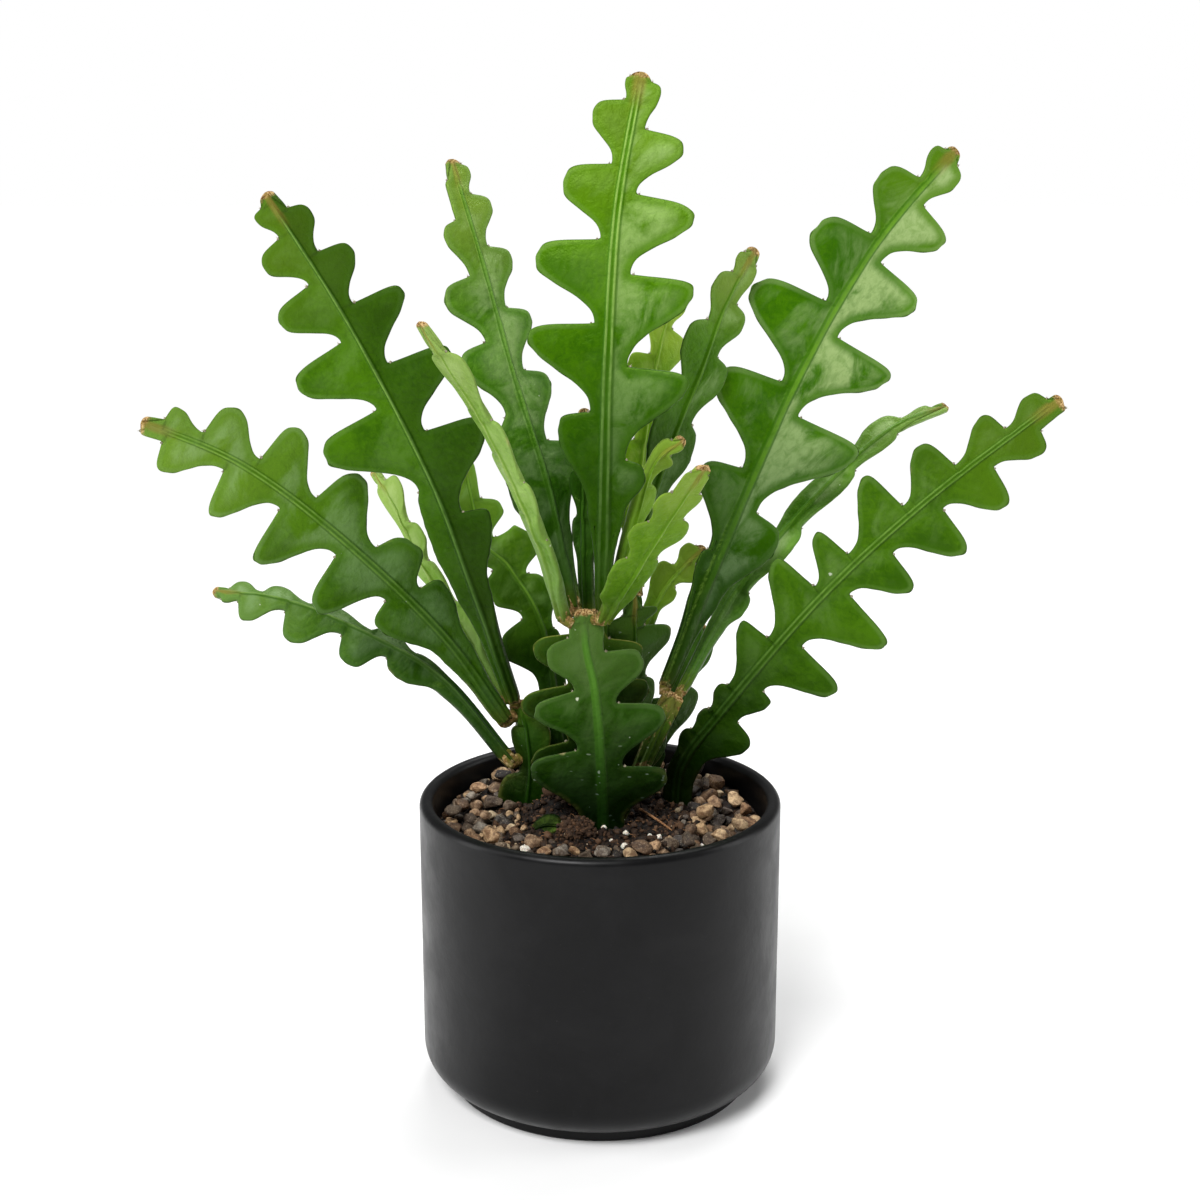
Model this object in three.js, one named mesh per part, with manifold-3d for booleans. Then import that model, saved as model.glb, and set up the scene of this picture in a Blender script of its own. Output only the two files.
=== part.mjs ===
// Fishbone cactus in a round ceramic pot, in millimetres, +Z up.
// The origin is the middle of the pot's flat foot, and the plant's front faces -Y.
//
// Every stem is a flat, fleshy blade that grew along a midrib. It is described by the midrib's
// control points, the way its flat side faces, and the lobes on its left and right edges.
// Stems rooted in the soil run a little below its surface; shoots start on an older stem.

import * as THREE from "three";
import { mergeVertices } from "three/addons/utils/BufferGeometryUtils.js";
import Module from "manifold-3d";

const wasm = await Module();
wasm.setup();

// Pot
const POT_HEIGHT = 108;
const POT_RADIUS = 65;
const POT_WALL = 5;
const POT_FLOOR = 8;
const FOOT_RADIUS = 55.5;
const FOOT_HEIGHT = 4.5;
const FOOT_EDGE = 1; // slant at the foot's lower edge
const BELLY_RADIUS = 12; // rounding where the side turns under to the foot
const BELLY_SWEEP = 1.25; // radians of that rounding, from the foot up to the straight side
const INNER_CORNER = 4; // slant where the inner wall meets the inner floor
const POT_SIDES = 40;
const POT_ARC_STEPS = 3; // in each rounding of the pot's profile

// Soil
const SOIL_TOP = 97.5; // in the middle
const SOIL_RING = 94; // where the pebbles lie
const SOIL_SLOPE = [32, 42]; // the surface falls between these radii
const SOIL_BACK = { from: 0, to: 40, rise: 5 }; // and it rises between these distances back
const SOIL_MOUND = { x: -17, y: 4, radius: 14, rise: 9 };
const SOIL_RINGS = [50, 42, 37, 32, 22, 11, 0]; // radii of the surface's corners
const SOIL_SIDES = 40;

// Pebbles
const PEBBLE_RINGS = [
  { radius: 53, count: 22, size: 8.6 },
  { radius: 43, count: 12, size: 8.2 },
];
const PEBBLE_JITTER = 0.3; // share of its place along the ring that a pebble may stray
const PEBBLE_SMALLEST = 0.85; // of the ring's size
const PEBBLE_LEAST_STRETCH = [1, 0.8, 0.62]; // length, width, height
const PEBBLE_MORE_STRETCH = [0.25, 0.2, 0.18];
const PEBBLE_DENT = 0.1; // deepest dent, as a share of the radius
const PEBBLE_STEM_ROOM = 8.5; // a pebble's middle stays this far from a rooted stem's middle
const PEBBLE_FOOT = 2.5; // a pebble lies on the ground at its middle and this far around it
const PEBBLE_SEED = 13;

// Colours and roughness
const POT_BLACK = [0x1d1d1f, 0.45];
const SOIL_BROWN = [0x2e2017, 0.95];
const STEM_GREEN = [0x3f7a1c, 0.4];
const YOUNG_GREEN = [0x7da32c, 0.4];
const PEBBLE_SHADES = [0xb59a78, 0x8a8178, 0x55524f, 0xc9b596, 0x6e5a48];
const PEBBLE_ROUGHNESS = 0.9;

// Stems
const GAP = 0.3; // between touching pieces
const ROW_STEP = 3; // along the midrib
const LEAST_ROWS = 6;
const RIB_THICK = 4.4; // through the midrib of a grown stem
const TIP_THICK = 2; // through the midrib at its tip
const ROOT_LENGTH = 9; // below the surface of the soil
const LEAN = 5;
const NOTCH = 6;
const TIP = 2;
const NOTCH_NARROWING = 0.45; // how much of a notch's half width is gone at the tip
const NOTCH_LIMIT = { share: 0.6, more: 0.5 }; // of its lobe's reach, and millimetres on top
const END_ROOM = 0.6; // kept between the last notch and the tip
const SAME_POINT = 1e-4; // corners closer than this are one

// The two curves of a lobe's edge, as shares of how far each runs and how far it rises or falls.
const RISE = { leave: 0.48, dip: 0.04, arrive: 0.4 };
const FALL = { leave: 0.8, bulge: 0.06, arrive: 0.2, drop: 0.58 };

// Where a shoot's stalk starts to widen, and how much of its widening is done there.
const STALK_BEND = { along: 0.6, widened: 0.25 };

// Lobes are [along, reach, lean]: how far along the midrib from its root the lobe reaches
// furthest, how far that is from the midrib, and how much further along the notch beyond it
// lies. spine holds the midrib's points, face the compass turn and upward tilt of the flat
// side in degrees, fold how many degrees each half bends towards that side, stalk the plain
// length before the lobes, neck the half width at the root, notch the half width that is left
// between lobes on the left and on the right, tip the half width at the end, and endThick the
// thickness there of an old stem that carries shoots.
const STEMS = [
  {
    name: "stem_centre_tall",
    spine: [[1, 1, 176.5], [2, -3, 227], [3, -3, 265], [6, 1, 314], [14, 12, 360]],
    face: [-10, 8],
    fold: 5,
    left: [[65, 17, 6], [95, 28, 6], [121, 27, 8], [145, 20, 9], [169, 14, 7], [182, 5, 2]],
    right: [[49, 14, 6], [83, 28, 4], [113, 28], [138, 26, 7], [161, 19, 6], [179, 8, 4]],
    stalk: 34,
    neck: 2.8,
    notch: [6, 7],
  },
  {
    name: "stem_front_old",
    rooted: true,
    spine: [[1, -6, 96], [0, -9, 124], [-2, -11, 150], [-5, -12, 166], [-5.8, -12, 180]],
    face: [8, 0],
    fold: 4,
    left: [[27, 25, 6], [49, 22, 7], [69, 14, 6], [77.5, 5.4, 3]],
    right: [[18, 24, 7], [42, 24, 7], [61, 19, 7], [77, 7, 3]],
    stalk: 4,
    neck: 8,
    notch: [8, 8],
    tip: 3,
    endThick: 3.6,
  },
  {
    name: "stem_behind_front",
    rooted: true,
    spine: [[-3, 9, 97], [-3, 8, 129], [-4, 6, 156], [-3, 3, 176]],
    face: [10, 0],
    left: [[21, 22, 8], [44, 25, 7], [63, 20, 7]],
    right: [[22, 21, 7], [46, 22, 5], [60, 20, 8]],
    stalk: 5,
    neck: 8,
    notch: [9, 9],
    tip: 6,
    endThick: 3.6,
  },
  {
    name: "stem_left_old",
    rooted: true,
    spine: [[-27, 14, 93.5], [-25, 14, 112], [-26, 14, 127], [-29.5, 14, 139]],
    face: [-28, 0],
    left: [[5, 13, 12], [31, 8, 6]],
    right: [[14, 13, 8], [33, 9, 5]],
    stalk: 1,
    neck: 5.5,
    notch: [5.5, 6.5],
    tip: 4,
    endThick: 4,
  },
  {
    name: "stem_back_left",
    rooted: true,
    spine: [[-12, 20, 95], [-20, 24, 158.5], [-33, 32, 183.5], [-44, 38, 195], [-52, 50, 226]],
    face: [22, 0],
    fold: 6,
    left: [[64, 17, 11], [86, 12, 12], [110, 10, 6], [128, 8]],
    right: [[64, 6, 4], [80, 9, 9], [96, 14, 12], [119, 11, 6], [135, 4]],
    stalk: 49,
    neck: 5,
    notch: [6, 5],
  },
  {
    name: "stem_back_right",
    rooted: true,
    spine: [[9, 20, 95], [12, 20, 130], [12, 18, 157], [12, 16, 179.6]],
    face: [28, 0],
    left: [[29, 11], [51, 14, 8], [70, 11, 6]],
    right: [[24, 16, 8], [45, 9, 6], [66, 16, 5], [76, 10, 2]],
    stalk: 6,
    neck: 5.5,
    notch: [6.5, 5.5],
    endThick: 3.6,
  },
  {
    name: "stem_right_old",
    rooted: true,
    spine: [[6, 1, 96], [14.8, 3, 117], [21, 5, 131], [26.8, 7, 144]],
    left: [],
    right: [],
    stalk: 44,
    neck: 2.4,
    notch: [4, 4],
    tip: 4,
    endThick: 4.4,
  },
  {
    name: "stem_right_dark",
    rooted: true,
    spine: [[12, 34, 94], [19.5, 37, 110], [27.5, 40, 126], [31.5, 42, 137], [36.5, 44, 149], [38, 45, 160]],
    face: [28, 0],
    left: [[35, 12, 6], [59, 9, 6]],
    right: [[16, 6, 6], [42, 9, 6], [61, 7, 6]],
    stalk: 5,
    neck: 5.5,
    notch: [5.5, 3.5],
  },
  {
    name: "stem_right_far",
    rooted: true,
    spine: [[28, 17, 96], [30.5, 16, 114], [44, 10, 136], [77, -4, 182], [111, -18, 220], [150, -36, 257]],
    face: [-16, 0],
    fold: 7,
    left: [
      [28, 6.5, 4], [39, 6, 4], [51, 7, 4], [78, 15, 1], [103, 21, 2], [119, 17, 3],
      [146, 20, 2], [165, 16, 6], [188, 11, 4], [204, 7.5],
    ],
    right: [
      [41, 16, 5], [59, 12, 3], [80, 27, 5], [107, 28, 5], [130, 20, 4],
      [153, 22], [175, 18, 6], [196, 11], [210, 4, 2],
    ],
    stalk: 21,
    neck: 5.5,
    notch: [4.4, 7],
  },
  {
    name: "stem_small_dark",
    spine: [[-4.3, 9.4, 168], [-5.4, 12.2, 199], [-5.5, 13.3, 222], [-5.5, 14.2, 246]],
    face: [-25, 0],
    left: [[34, 5, 6], [51, 6, 6], [68, 5, 5]],
    right: [[34, 7, 6], [47, 8, 8], [68, 5, 5]],
    stalk: 22,
    neck: 3,
    notch: [3, 3],
  },
  {
    name: "stem_buried_end",
    rooted: true,
    spine: [[-24, -5, 94], [-20, -8, 98], [-15, -10, 98.5], [-10, -12, 95]],
    face: [0, 40],
    left: [[8, 5, 4]],
    right: [[8, 4, 4]],
    stalk: 2,
    neck: 3,
    notch: [3, 3],
  },
  {
    name: "shoot_left_far",
    spine: [[-34.4, 13, 131.5], [-57, 8, 166], [-91, -3, 204], [-121, -18, 232], [-150, -34, 249]],
    face: [15, 5],
    fold: 8,
    left: [[60, 15], [81, 25, 9], [112, 25], [138, 20, 4], [163, 13, 3], [172, 4, 2]],
    right: [[54, 13], [69, 16, 12], [102, 21, 7], [128, 21], [147, 16, 7], [165, 9, 3]],
    stalk: 31,
    neck: 3.5,
  },
  {
    name: "shoot_left_low",
    spine: [[-32.3, 14, 115], [-58, 20, 145], [-88, 28, 161], [-118, 36, 171], [-145, 44, 172.5]],
    face: [0, 45],
    fold: -18,
    left: [[52, 9, 10], [72, 13, 9], [97, 14, 8], [120, 10], [130, 4, 2]],
    right: [[48, 4], [64, 7, 8], [87, 6, 10], [111, 7], [126, 7, 4]],
    stalk: 37,
    neck: 2.9,
    notch: [4.5, 3],
  },
  {
    name: "shoot_left_tall",
    spine: [[-31.4, 12, 139.5], [-44, -2, 184], [-58, -9, 226], [-83, -17, 279], [-108, -24, 322]],
    face: [-14, 5],
    fold: 6,
    left: [[68, 9, 22], [113, 31, 9], [139, 27, 9], [162, 21, 8], [181, 15, 7], [196, 8, 3]],
    right: [[76, 15, 2], [105, 26, 4], [131, 27, 4], [155, 22, 3], [173, 15, 5], [190, 10]],
    stalk: 46,
    neck: 3,
    notch: [7, 6],
  },
  {
    name: "shoot_left_thin",
    spine: [[-35.2, 17, 138.5], [-50, 30, 162], [-65, 43, 182], [-77, 55, 203], [-86, 64, 215]],
    face: [-45, 10],
    left: [[40, 4, 7], [62, 6, 9], [91, 5, 6]],
    right: [[28, 6, 13], [52, 5, 8], [68, 7, 9], [91, 8]],
    stalk: 14,
    neck: 2.8,
    notch: [3, 3],
  },
  {
    name: "shoot_upper_left",
    spine: [[-9.5, 4, 176.5], [-19, 11, 219], [-31, 24, 256], [-42, 40, 293], [-54, 58, 330]],
    face: [30, 15],
    fold: -8,
    left: [[42, 14, 30], [91, 17, 8], [115, 17, 9], [139, 11, 7], [157, 5]],
    right: [[54, 15, 6], [82, 16, 5], [107, 15, 4], [131, 14, 4], [152, 12, 4], [165, 7, 3]],
    stalk: 24,
    neck: 3.5,
    notch: [7, 6],
  },
  {
    name: "shoot_young_left",
    spine: [[-12.6, -10.8, 176.4], [-20, -21, 206], [-36, -34, 246], [-57, -48, 283]],
    face: [-50, 0],
    left: [[41, 6, 4], [64, 7, 4], [83, 6, 4], [105, 7, 4]],
    right: [[30, 5, 4], [53, 7, 4], [78, 8, 4], [105, 10]],
    stalk: 18,
    neck: 2.8,
    notch: [5, 5],
  },
  {
    name: "shoot_back_light",
    spine: [[13, 19.5, 180], [13, 26, 211], [16, 35, 235], [20, 44, 258], [27, 55, 283]],
    face: [30, 10],
    left: [[24, 6], [48, 9], [80, 11], [98, 8]],
    right: [[35, 9], [66, 10], [92, 11], [106, 7, 3]],
    stalk: 12,
    neck: 3.2,
    notch: [3.5, 4.5],
  },
  {
    name: "shoot_right_inner",
    spine: [[9.5, 14, 180.8], [21, 13, 224], [35, 16, 260], [43, 19, 281], [54, 22, 301]],
    face: [40, 5],
    fold: 8,
    left: [[61, 12, 10], [91, 13, 9], [111, 10, 7], [123, 6, 3]],
    right: [[51, 11, 13], [81, 12, 8], [102, 11, 7], [119, 6]],
    stalk: 34,
    neck: 4,
    notch: [6, 6],
  },
  {
    name: "shoot_right_tall",
    spine: [[23.4, 7, 146.4], [50, 29, 207], [73, 33, 259], [98, 39, 301], [127, 48, 334]],
    face: [16, 8],
    fold: 7,
    left: [
      [46, 7, 6], [78, 20, 6], [111, 28, 7], [140, 31, 10], [166, 23, 12],
      [193, 15, 11], [214, 7, 4],
    ],
    right: [[63, 19, 8], [104, 34], [137, 31, 4], [166, 26, 6], [192, 20, 6], [211, 9, 6]],
    stalk: 33,
    neck: 2.7,
    notch: [5, 7],
  },
  {
    name: "shoot_right_edge",
    spine: [[29.2, 8.6, 143.8], [51, 36, 175], [84, 55, 209], [110, 69, 229], [134, 84, 236]],
    face: [25, 58],
    left: [[54, 5, 14], [89, 6, 20], [132, 7, 9], [153, 4, 3]],
    right: [[40, 7, 8], [69, 7, 12], [102, 6, 10], [127, 5, 8]],
    stalk: 30,
    neck: 2.3,
    notch: [3, 4],
  },
  {
    name: "shoot_young_front",
    spine: [[0.9, -13.9, 176.4], [11, -23, 195], [21, -33, 214], [34, -48, 237]],
    face: [30, 0],
    fold: 6,
    left: [[26, 10], [43, 12, 6], [59, 10], [71, 6, 3]],
    right: [[26, 7, 6], [44, 10, 7], [61, 7, 3], [71, 4, 2]],
    stalk: 12,
    neck: 2.8,
    notch: [8, 6],
  },
  {
    name: "shoot_young_back",
    spine: [[7.2, 3.6, 189], [12, 3, 209], [18, 1, 228], [29, -2, 238]],
    face: [40, 20],
    left: [[34, 3], [49, 4, 3]],
    right: [[27, 7, 7], [44, 6, 4], [52, 3, 2]],
    stalk: 14,
    neck: 3,
    notch: [3, 3],
  },
  {
    name: "shoot_young_low",
    spine: [[14, 23.2, 158], [21, 32, 171], [28, 37, 180], [39, 41, 190]],
    face: [10, 20],
    left: [[28, 8, 4], [39, 6, 4]],
    right: [[22, 5, 4], [34, 7, 4]],
    stalk: 14,
    neck: 3,
    notch: [4, 2.5],
  },
];

const finish = (color, roughness) =>
  new THREE.MeshStandardMaterial({ color, roughness, metalness: 0 });

// The same numbers in the same order on every run.
function makeRandom(seed) {
  let state = seed;
  return () => {
    state = (state * 1664525 + 1013904223) % 4294967296;
    return state / 4294967296;
  };
}

function meshFrom(points, triangles) {
  const geometry = new THREE.BufferGeometry();
  geometry.setAttribute("position", new THREE.Float32BufferAttribute(points.flat(), 3));
  geometry.setIndex(triangles.flat());
  return geometry;
}

function solidFrom(geometry) {
  const bare = geometry.clone();
  bare.deleteAttribute("normal");
  bare.deleteAttribute("uv");
  const merged = mergeVertices(bare, SAME_POINT);
  return new wasm.Manifold(
    new wasm.Mesh({
      numProp: 3,
      vertProperties: merged.attributes.position.array,
      triVerts: new Uint32Array(merged.index.array),
    }),
  );
}

function geometryFrom(solid) {
  const { vertProperties, triVerts } = solid.getMesh();
  const geometry = new THREE.BufferGeometry();
  geometry.setAttribute("position", new THREE.BufferAttribute(vertProperties, 3));
  geometry.setIndex(new THREE.BufferAttribute(triVerts, 1));
  return geometry;
}

// ---- Stems -------------------------------------------------------------------------------

// The midrib's place and directions at a distance along it. tangent points to the tip, facing
// out of the flat front side, and side to the right-hand edge.
function ribFrame(stem, curve, length, along) {
  const inside = THREE.MathUtils.clamp(along / length, 0, 1);
  const tangent = curve.getTangentAt(inside);
  const [turn, tilt] = (stem.face ?? [0, 0]).map(THREE.MathUtils.degToRad);
  const facing = new THREE.Vector3(
    Math.sin(turn) * Math.cos(tilt),
    -Math.cos(turn) * Math.cos(tilt),
    Math.sin(tilt),
  );
  facing.addScaledVector(tangent, -facing.dot(tangent)).normalize();
  const side = new THREE.Vector3().crossVectors(tangent, facing);
  const point = curve.getPointAt(inside);
  point.addScaledVector(tangent, along - inside * length);
  return { point, tangent, facing, side };
}

// A point of the blade: out from the midrib on the left (sign -1) or right (sign 1) half.
function bladePoint(stem, frame, sign, reach) {
  const fold = THREE.MathUtils.degToRad(stem.fold ?? 0);
  return frame.point
    .clone()
    .addScaledVector(frame.side, sign * reach * Math.cos(fold))
    .addScaledVector(frame.facing, reach * Math.sin(fold));
}

// One edge of a stem as stretches from notch to notch. Each stretch is an outline in the
// blade's own plane, x along the midrib and y away from it.
function edgeStretches(stem, lobes, notch, length) {
  const tip = stem.tip ?? TIP;
  let last = new THREE.Vector2(stem.stalk, notch);
  const stalkPoints = [new THREE.Vector2(0, stem.neck), last];
  if (stem.rooted) {
    stalkPoints.unshift(new THREE.Vector2(-ROOT_LENGTH, stem.neck));
  } else {
    const narrow = THREE.MathUtils.lerp(stem.neck, notch, STALK_BEND.widened);
    stalkPoints.splice(1, 0, new THREE.Vector2(STALK_BEND.along * stem.stalk, narrow));
  }
  const stretches = [new THREE.SplineCurve(stalkPoints)];
  for (const [along, reach, lean = LEAN] of lobes) {
    const top = new THREE.Vector2(along, reach);
    const notchAt = Math.min(along + lean, length - END_ROOM);
    const narrowed = notch * (1 - NOTCH_NARROWING * (notchAt / length) ** 3);
    const shallowest = NOTCH_LIMIT.share * reach + NOTCH_LIMIT.more;
    const next = new THREE.Vector2(notchAt, Math.max(tip, Math.min(narrowed, shallowest)));
    const rise = top.clone().sub(last);
    const fall = next.clone().sub(top);
    const lobe = new THREE.CurvePath();
    lobe.add(
      new THREE.CubicBezierCurve(
        last,
        new THREE.Vector2(last.x + RISE.leave * rise.x, last.y - RISE.dip * rise.y),
        new THREE.Vector2(top.x - RISE.arrive * rise.x, top.y),
        top,
      ),
    );
    lobe.add(
      new THREE.CubicBezierCurve(
        top,
        new THREE.Vector2(top.x + FALL.leave * fall.x - FALL.bulge * fall.y, top.y),
        new THREE.Vector2(next.x - FALL.arrive * fall.x, next.y - FALL.drop * fall.y),
        next,
      ),
    );
    stretches.push(lobe);
    last = next;
  }
  if (last.x < length - END_ROOM) {
    stretches.push(new THREE.LineCurve(last, new THREE.Vector2(length, tip)));
  }
  return stretches;
}

// The outline point that belongs to a row of the midrib: rows spread evenly over each stretch.
function edgePoint(stretches, along) {
  for (const stretch of stretches) {
    const start = stretch.getPoint(0).x;
    const end = stretch.getPoint(1).x;
    if (along <= end) {
      const share = THREE.MathUtils.clamp((along - start) / (end - start), 0, 1);
      return stretch.getPointAt(share);
    }
  }
  return stretches.at(-1).getPoint(1);
}

// A closed blade: rows of four points, left edge, front of the rib, right edge, back of the rib.
// swell makes it larger all round, for the pocket that it leaves in the soil.
function bladeGeometry(stem, swell = 0) {
  const curve = new THREE.CatmullRomCurve3(
    stem.spine.map((p) => new THREE.Vector3(...p)),
    false,
    "catmullrom",
  );
  const length = curve.getLength();
  const [notchLeft, notchRight] = stem.notch ?? [NOTCH, NOTCH];
  const edges = [
    [edgeStretches(stem, stem.left, notchLeft, length), -1],
    [edgeStretches(stem, stem.right, notchRight, length), 1],
  ];
  const start = stem.rooted ? -ROOT_LENGTH - swell : 0;
  const rows = Math.max(LEAST_ROWS, Math.round((length - start) / ROW_STEP));
  const points = [];
  const triangles = [];
  for (let row = 0; row <= rows; row++) {
    const along = start + ((length - start) * row) / rows;
    const rib = ribFrame(stem, curve, length, along);
    const taper = THREE.MathUtils.clamp(along / length, 0, 1) ** 2;
    const thick = THREE.MathUtils.lerp(RIB_THICK, stem.endThick ?? TIP_THICK, taper);
    const half = thick / 2 + swell;
    const [left, right] = edges.map(([stretches, sign]) => {
      const edge = edgePoint(stretches, along);
      return bladePoint(stem, ribFrame(stem, curve, length, edge.x), sign, edge.y + swell);
    });
    const front = rib.point.clone().addScaledVector(rib.facing, half);
    const back = rib.point.clone().addScaledVector(rib.facing, -half);
    points.push(...[left, front, right, back].map((p) => p.toArray()));
    if (row === 0) continue;
    for (let i = 0; i < 4; i++) {
      const a = 4 * (row - 1) + i;
      const b = 4 * (row - 1) + ((i + 1) % 4);
      triangles.push([a, b, b + 4], [a, b + 4, a + 4]);
    }
  }
  const top = 4 * rows;
  triangles.push([0, 3, 2], [0, 2, 1], [top, top + 1, top + 2], [top, top + 2, top + 3]);
  return meshFrom(points, triangles);
}

// ---- Pot ---------------------------------------------------------------------------------

function potGeometry() {
  const profile = new THREE.Path();
  const bellyX = POT_RADIUS - BELLY_RADIUS;
  const bellyZ = FOOT_HEIGHT + BELLY_RADIUS * Math.sin(BELLY_SWEEP);
  const rim = POT_WALL / 2;
  profile.moveTo(0, 0);
  profile.lineTo(FOOT_RADIUS - FOOT_EDGE, 0);
  profile.lineTo(FOOT_RADIUS, FOOT_EDGE);
  profile.lineTo(FOOT_RADIUS, FOOT_HEIGHT);
  profile.absarc(bellyX, bellyZ, BELLY_RADIUS, -BELLY_SWEEP, 0, false);
  profile.lineTo(POT_RADIUS, POT_HEIGHT - rim);
  profile.absarc(POT_RADIUS - rim, POT_HEIGHT - rim, rim, 0, Math.PI, false);
  profile.lineTo(POT_RADIUS - POT_WALL, POT_FLOOR + INNER_CORNER);
  profile.lineTo(POT_RADIUS - POT_WALL - INNER_CORNER, POT_FLOOR);
  profile.lineTo(0, POT_FLOOR);
  const outline = profile.getPoints(POT_ARC_STEPS);
  return new THREE.LatheGeometry(outline, POT_SIDES).rotateX(Math.PI / 2);
}

// ---- Soil --------------------------------------------------------------------------------

function groundHeight(x, y) {
  const fall = THREE.MathUtils.smoothstep(Math.hypot(x, y), ...SOIL_SLOPE);
  const back = THREE.MathUtils.smoothstep(y, SOIL_BACK.from, SOIL_BACK.to);
  const toMound = Math.hypot(x - SOIL_MOUND.x, y - SOIL_MOUND.y);
  const mound = 1 - THREE.MathUtils.smoothstep(toMound, 0, SOIL_MOUND.radius);
  const level = THREE.MathUtils.lerp(SOIL_TOP, SOIL_RING, fall);
  return level + SOIL_BACK.rise * back + SOIL_MOUND.rise * mound;
}

function soilGeometry() {
  const outer = POT_RADIUS - POT_WALL - GAP;
  const bottom = POT_FLOOR + GAP;
  const profile = [
    new THREE.Vector2(0, bottom),
    new THREE.Vector2(outer - INNER_CORNER, bottom),
    new THREE.Vector2(outer, bottom + INNER_CORNER),
  ];
  for (const radius of [outer, ...SOIL_RINGS]) {
    profile.push(new THREE.Vector2(radius, SOIL_TOP));
  }
  const turned = new THREE.LatheGeometry(profile, SOIL_SIDES).rotateX(Math.PI / 2);
  const corners = turned.attributes.position;
  for (let i = 0; i < corners.count; i++) {
    if (corners.getZ(i) < SOIL_RING) continue;
    corners.setZ(i, groundHeight(corners.getX(i), corners.getY(i)));
  }
  let soil = solidFrom(turned);
  for (const stem of STEMS.filter((s) => s.rooted)) {
    soil = soil.subtract(solidFrom(bladeGeometry(stem, GAP)));
  }
  return geometryFrom(soil);
}

// ---- Pebbles -----------------------------------------------------------------------------

function pebbleGeometry(size, random) {
  const stretch = PEBBLE_LEAST_STRETCH.map((s, i) => s + PEBBLE_MORE_STRETCH[i] * random());
  const geometry = mergeVertices(
    new THREE.DodecahedronGeometry(size / 2).deleteAttribute("normal").deleteAttribute("uv"),
    SAME_POINT,
  );
  const corners = geometry.attributes.position;
  const corner = new THREE.Vector3();
  for (let i = 0; i < corners.count; i++) {
    corner.fromBufferAttribute(corners, i);
    corner.multiply(new THREE.Vector3(...stretch));
    corner.multiplyScalar(1 - PEBBLE_DENT * random());
    corners.setXYZ(i, ...corner);
  }
  geometry.rotateZ(random() * Math.PI);
  geometry.computeBoundingBox();
  return geometry;
}

function groundUnder(x, y) {
  const around = [[0, 0], [PEBBLE_FOOT, 0], [-PEBBLE_FOOT, 0], [0, PEBBLE_FOOT], [0, -PEBBLE_FOOT]];
  return Math.max(...around.map(([dx, dy]) => groundHeight(x + dx, y + dy)));
}

function addPebbles(plant) {
  const random = makeRandom(PEBBLE_SEED);
  const roots = STEMS.filter((s) => s.rooted).map((s) => s.spine[0]);
  let number = 0;
  for (const { radius, count, size } of PEBBLE_RINGS) {
    for (let i = 0; i < count; i++) {
      const angle = ((i + PEBBLE_JITTER * random()) / count) * 2 * Math.PI;
      const x = radius * Math.cos(angle);
      const y = radius * Math.sin(angle);
      const share = THREE.MathUtils.lerp(PEBBLE_SMALLEST, 1, random());
      const stone = pebbleGeometry(size * share, random);
      const crowded = roots.some((root) => Math.hypot(root[0] - x, root[1] - y) < PEBBLE_STEM_ROOM);
      if (crowded) continue;
      number += 1;
      const shade = PEBBLE_SHADES[number % PEBBLE_SHADES.length];
      const pebble = new THREE.Mesh(stone, finish(shade, PEBBLE_ROUGHNESS));
      pebble.name = `pebble_${String(number).padStart(2, "0")}`;
      pebble.position.set(x, y, groundUnder(x, y) + GAP - stone.boundingBox.min.z);
      plant.add(pebble);
    }
  }
}

// ---- The whole plant ---------------------------------------------------------------------

const plant = new THREE.Group();

const pot = new THREE.Mesh(potGeometry(), finish(...POT_BLACK));
pot.name = "pot";
const soil = new THREE.Mesh(soilGeometry(), finish(...SOIL_BROWN));
soil.name = "potting_soil";
plant.add(pot, soil);

for (const stem of STEMS) {
  const young = stem.name.includes("young") || stem.name.includes("light");
  const colours = young ? YOUNG_GREEN : STEM_GREEN;
  const blade = new THREE.Mesh(bladeGeometry(stem), finish(...colours));
  blade.name = stem.name;
  plant.add(blade);
}
addPebbles(plant);

export default plant;
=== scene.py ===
"""A fishbone cactus in a round black pot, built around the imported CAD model.

Lengths are in millimetres until a mesh is made, when they become metres. The frame is the
CAD model's: the origin is the middle of the pot's foot, +Z is up and the front faces -Y.
"""

import math
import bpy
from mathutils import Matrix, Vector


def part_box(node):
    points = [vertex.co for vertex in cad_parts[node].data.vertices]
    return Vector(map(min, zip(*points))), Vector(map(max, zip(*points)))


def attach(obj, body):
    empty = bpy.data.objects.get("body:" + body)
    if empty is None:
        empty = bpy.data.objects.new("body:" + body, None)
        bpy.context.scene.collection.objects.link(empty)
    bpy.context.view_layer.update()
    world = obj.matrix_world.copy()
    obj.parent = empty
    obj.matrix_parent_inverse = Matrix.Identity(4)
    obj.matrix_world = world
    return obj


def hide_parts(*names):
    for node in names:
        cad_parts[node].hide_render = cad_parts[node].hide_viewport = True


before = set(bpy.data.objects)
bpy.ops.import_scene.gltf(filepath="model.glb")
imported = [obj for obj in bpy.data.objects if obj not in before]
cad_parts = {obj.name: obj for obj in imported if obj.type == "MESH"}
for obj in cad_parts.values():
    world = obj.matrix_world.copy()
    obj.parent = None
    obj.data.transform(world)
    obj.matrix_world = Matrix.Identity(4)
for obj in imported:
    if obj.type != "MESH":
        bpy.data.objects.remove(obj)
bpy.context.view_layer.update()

from types import SimpleNamespace

import bmesh
import bpy
import numpy as np
from mathutils import Vector, kdtree, noise

MM = 0.001

# ---- Camera ----

CAMERA_PLACE = (0, -677.4, 351.9)
CAMERA_PITCH = 14.23  # degrees below the horizon
CAMERA_LENS = 59.55  # on a sensor 36 mm wide

# ---- Pot, soil and stones, as in the CAD model ----

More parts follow.
